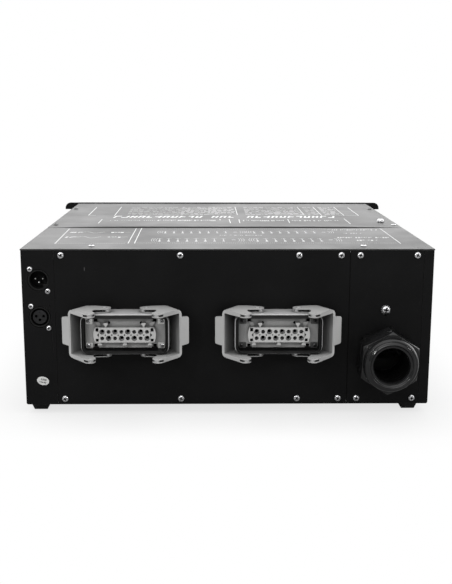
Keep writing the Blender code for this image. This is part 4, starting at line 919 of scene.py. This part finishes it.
class Print:
    """Flat ink marks that lie on the lids, drawn as (x, distance from the connector side)."""

    def __init__(self):
        self.shape = Shape()

    def on_lid(self, x, y):
        """The point just above the lid's surface there."""
        start = TO_ROW @ Vector((x, -y, LID_TOP + 28))
        hits = [lid.ray_cast(start, (0, 0, -1)) for lid in LIDS]
        heights = [place.z for found, place, _, _ in hits if found]
        height = (max(heights) - BASE) / MM if heights else LID_TOP
        return (x, -y, height + INK_LIFT)

    def patch(self, corners, material=INK):
        verts = [self.shape.mesh.verts.new(self.on_lid(*corner)) for corner in corners]
        self.shape.face(verts, self.shape.slot(material))

    def line(self, x0, y0, x1, y1, width, material=INK):
        """A straight line of short patches, so that it follows the bow of the lid."""
        length = math.hypot(x1 - x0, y1 - y0)
        parts = max(1, round(length / PATCH_LENGTH))
        nx, ny = (y0 - y1) / length * width / 2, (x1 - x0) / length * width / 2
        for i in range(parts):
            a, b = i / parts, (i + 1) / parts
            ax, ay = x0 + (x1 - x0) * a, y0 + (y1 - y0) * a
            bx, by = x0 + (x1 - x0) * b, y0 + (y1 - y0) * b
            corners = [(ax - nx, ay - ny), (bx - nx, by - ny), (bx + nx, by + ny), (ax + nx, ay + ny)]
            self.patch(corners, material)

    def dashes(self, x0, x1, y, pitch, width):
        for i in range(int((x1 - x0) / pitch)):
            x = x0 + i * pitch
            self.line(x, y, x + pitch * DASH_SHARE, y, width, FAINT_INK)

    def marks(self, x0, x1, y, height, seed, wide, gap, slant, material):
        """A row of generic strokes, unlike any lettering."""
        chance = random.Random(seed)
        x = x0
        while x < x1:
            width = chance.uniform(*wide)
            low, high = y - height / 2, y + height / 2
            if chance.random() < 0.45:
                low = high - height * chance.uniform(0.35, 0.6)
            corners = [(x, low), (x + width, low), (x + width + slant, high), (x + slant, high)]
            self.patch(corners, material)
            x += width + gap + (2.5 * gap if chance.random() < 0.15 else 0)

    def piece(self, name):
        self.shape.piece(name, "black_powder_coat")


def build_lid_print():
    """Ruled frames, connection symbols and tables in pale ink, all generic."""
    rear = Print()
    rules = [(-189.5, 37, -191.5, 160), (-109.5, 39, -110, 163)]
    rules += [(-102.5, 39, -103.5, 165), (191, 163, 191.3, 38)]
    for corners in rules:
        rear.line(*corners, 0.9, SOFT_INK)
    for x0, x1, y in ((-189, -110, 40), (-102, 190, 42), (-80, 125, 158)):
        rear.dashes(x0, x1, y, 2.4, 1.5)
    for y, lift, seed in ((127, 6, 1), (87, 7, 2)):
        rear.marks(-186, -174, y, 8, seed, (1.2, 2.4), 0.8, 1.5, SOFT_INK)
        for i in range(12):
            heights = [y + lift * math.sin(0.62 * k) * (1 - 0.03 * k) for k in (i, i + 1)]
            rear.line(-172 + i * 2.3, heights[0], -170.4 + i * 2.3, heights[1], 1.3, FAINT_INK)
        rear.marks(-137, -123, y, 6, seed + 5, (2, 4), 0.5, 0, SOFT_INK)
        rear.line(-122, y + 1, -114, y + 2, 1.2, FAINT_INK)
    for y, size, starts in ((130, 9, (-72.5, 33.5)), (66, 12, (-76, 34.2))):
        for start in starts:
            connection_row(rear, start, y, size)
    rear.marks(-8, 40, 103, 4, 21, (1, 3), 0.8, 0, FAINT_INK)
    captions = [(124, 184, 150, 7, 31), (139, 160, 120, 4, 32)]
    captions += [(127, 187, 84, 8, 33), (146, 170, 62, 9, 34)]
    for caption in captions:
        rear.marks(*caption, (1.2, 2.6), 1.1, 1, FAINT_INK)
    rear.piece("lid_print_rear")

    front = Print()
    for x0, x1 in ((-150, -31), (-18, 19), (30, 152)):
        for i in range(round((x1 - x0) / TITLE_PITCH)):
            title_block(front, x0 + TITLE_PITCH * i, 270, i + round(x1))
    front.marks(-150, -92, 238, 5, 43, (1, 2.2), 1.3, 0, TABLE_INK)
    front.marks(-88, -12, 238, 12, 44, (1.5, 3), 0.7, 0, FAINT_INK)
    front.marks(24, 80, 236, 12, 45, (1.2, 2.4), 0.8, 0, FAINT_INK)
    front.marks(88, 152, 236, 10, 46, (1.2, 2.6), 1.1, 0, FAINT_INK)
    rules = [(-162, 206, -162, 250), (-6, 240, -6.2, 256), (7, 207, 6, 254)]
    rules += [(19, 207, 19, 251), (83, 209, 84, 252), (160, 200, 160, 259)]
    posts = [(-186, 298, 398), (-150, 293, 402), (18.5, 303, 403), (111, 303, 404)]
    posts += [(134.5, 294, 404), (165.5, 296, 404), (185.5, 296, 396)]
    rules += [(x, y0, x - 0.6, y1) for x, y0, y1 in posts]
    rules += [(137, 300, 184, 298), (-186, 298, -176, 297)]
    for corners in rules:
        front.line(*corners, 1.0, SOFT_INK)
    columns = [(-134, -62, 3.4), (-60, -24, 5.4), (-22, 13, 6.4), (30, 72, 5)]
    columns += [(74, 106, 5), (117, 130, 4), (140, 160, 5.6)]
    for row in range(9):
        for index, (x0, x1, height) in enumerate(columns):
            seed = 50 + 10 * row + index
            front.marks(x0, x1, 310 + row * 11, height, seed, (2.5, 8), 1.3, 0, TABLE_INK)
    front.piece("lid_print_front")


def connection_row(sheet, start, y, size):
    """Six circuit symbols, two spares, a dash and the brackets at both ends of one outlet's row."""
    middle, knee = y - size * 0.5, y + size * 0.8
    for i in range(8):
        x = start + i * CIRCUIT_PITCH
        wedge = [(x - 1.6, y - size), (x + 1.6, y - size), (x + 0.9, middle), (x - 0.9, middle)]
        sheet.patch(wedge, SOFT_INK if i < 6 else FAINT_INK)
        sheet.line(x, middle, x - 0.4, knee, 0.9, FAINT_INK)
        sheet.line(x - 3.4, knee, x + 2.6, y + size, 0.9, FAINT_INK)
    sheet.line(start + 7.9 * CIRCUIT_PITCH, y, start + 8.3 * CIRCUIT_PITCH, y, 1.8)
    for k in range(3):
        for x, side in ((start - 4.2 - 2.6 * k, -1), (start + 8.75 * CIRCUIT_PITCH + 2.6 * k, 1)):
            tip = x - side * 1.4
            curve = [(tip, y - size), (x, y - size / 3), (x, y + size / 3), (tip, y + size)]
            for (x0, y0), (x1, y1) in zip(curve, curve[1:]):
                sheet.line(x0, y0, x1, y1, 0.6, FAINT_INK)


def title_block(sheet, x, y, index):
    """One slanted generic block of the title row, each a different mix of two posts and a bar."""
    tall, lean = 20, 3
    bar = y + (0, 7.5, 15)[index % 3]
    for post in ((0, 5.6), (0,), (5.6,), (0, 5.6))[index % 4]:
        left, right = x + post, x + post + 2.5
        sheet.patch([(left, y), (right, y), (right + lean, y + tall), (left + lean, y + tall)])
    left = x + lean * (bar - y) / tall
    sheet.patch([(left, bar), (left + 8, bar), (left + 8.6, bar + 5), (left + 0.6, bar + 5)])


def build_label():
    """Small oval inspection label, tilted, with two rows of plain bars, and one old scratch."""
    tilt = Matrix.Rotation(math.radians(-13), 2)

    def turned(points):
        return [tuple(tilt @ Vector(point) + LABEL_PLACE) for point in points]

    oval = [(6.6 * u, 4.7 * v) for u, v in circle((0, 0), 1, 40)]
    label = Shape().prism([turned(oval)], 0.02, 0.12, PAPER)
    rows = [(0.5, 2.6, (-2.6, -0.9, 0.9, 2.2)), (-2.4, -0.9, (-3.6, -2.2, -0.6, 1.0, 2.6))]
    for low, high, starts in rows:
        for index, x in enumerate(starts):
            bar = rectangle(x, low, x + 0.9 + 0.3 * (index % 2), high)
            label.prism([turned(bar)], 0.12, 0.15, MARK)
    label.piece("inspection_label", "grey_polymer")
    outline = [(-153.2, 152), (-152.8, 152.2), (-152.7, 148.7), (-153.0, 148.4)]
    scratch = Shape().prism([outline], 0.005, 0.03, MARK)
    scratch.piece("panel_scratch", "black_powder_coat")


def build_front_details():
    """Channel rings, group bars, rules and the display's frame and segments on the control side."""
    face = (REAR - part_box("front_rack_panel")[1].y) / MM - 0.04
    layer = (face, face + 0.02, INK)
    marks = Shape()
    for channel in range(12):
        x = -106 + 28 * channel
        marks.prism([circle((x, 148), 2.1, 20), circle((x, 148), 1.7, 20)], *layer)
        for bar in range(1 + channel % 4):
            left = x - 4 + bar * 2.4
            marks.prism([rectangle(left, 79, left + 1.2, 82.5)], *layer)
    for z in (155, 72.4):
        marks.prism([rectangle(-120, z, 216, z + 0.6)], *layer)
    marks.prism([rounded(DISPLAY_PLACE, 66, 28, 3), rounded(DISPLAY_PLACE, 64.6, 26.6, 2.4)], *layer)
    marks.piece("front_panel_marks", "black_powder_coat")

    window = (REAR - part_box("display_module")[1].y) / MM - 0.03
    lit = Shape()
    bars = [rectangle(-2, z, 2, z + 0.8) for z in (134, 127.6, 121.2)]
    bars += [rectangle(u, z, u + 0.8, z + 5.2) for z in (128.6, 122.2) for u in (-2.9, 2.1)]
    for digit in range(4):
        x = DISPLAY_PLACE[0] + (digit - 1.5) * 9
        for bar in bars:
            lit.prism([placed(bar, x, 0)], window, window + 0.02, SEGMENT)
    lit.piece("display_segments", "display")


# ---------------------------------------------------------------- the CAD parts that stay

CAD_LOOKS = {
    # The lids get the lit copy of the powder coat, a painted sheen.
    "top_cover_front": LID_COAT_LIT_COPY,
    "top_cover_rear": LID_COAT_LIT_COPY,
    "gland_body": BLACK_PLASTIC,
    # The seal deep in the gland's bore takes the near-black painted shade.
    "gland_seal": PAINTED_SHADE_BLACK,
    "gland_lock_nut": BLACK_PLASTIC,
}
# Edge softening in millimetres, by a word in the part's name; the first match counts.
EDGE_WIDTHS = {
    "lever": 0.55,
    "housing": 0.6,
    "gland_body": 0.5,
    "foot": 0.5,
    "cover": 0.35,
    "panel": 0.3,
    "toggle": 0.4,
}
FINE_EDGE = 0.25


def finish_cad_nodes():
    """Materials, welded corners and softened edges; the levers are cut before their edges are softened."""
    slots = {row["node"]: row["material_slot"] for row in frame["record"]["subparts"]}
    for name, obj in NODES.items():
        obj.data.materials.clear()
        obj.data.materials.append(CAD_LOOKS.get(name) or MATERIALS[slots[name]])
        for attribute in [a for a in obj.data.attributes if a.name == "custom_normal"]:
            obj.data.attributes.remove(attribute)
        obj.data.shade_smooth()
        weld = obj.modifiers.new("weld", "WELD")
        weld.merge_threshold = 0.01 * MM
    build_connectors()
    for name, obj in NODES.items():
        width = next((value for key, value in EDGE_WIDTHS.items() if key in name), FINE_EDGE)
        add_bevel(obj, width)


finish_cad_nodes()
build_rails()
build_signal_connectors()
build_seam_lip()
build_earth()
build_gland()
build_lid_print()
build_label()
build_front_details()
build_studio()
build_camera()
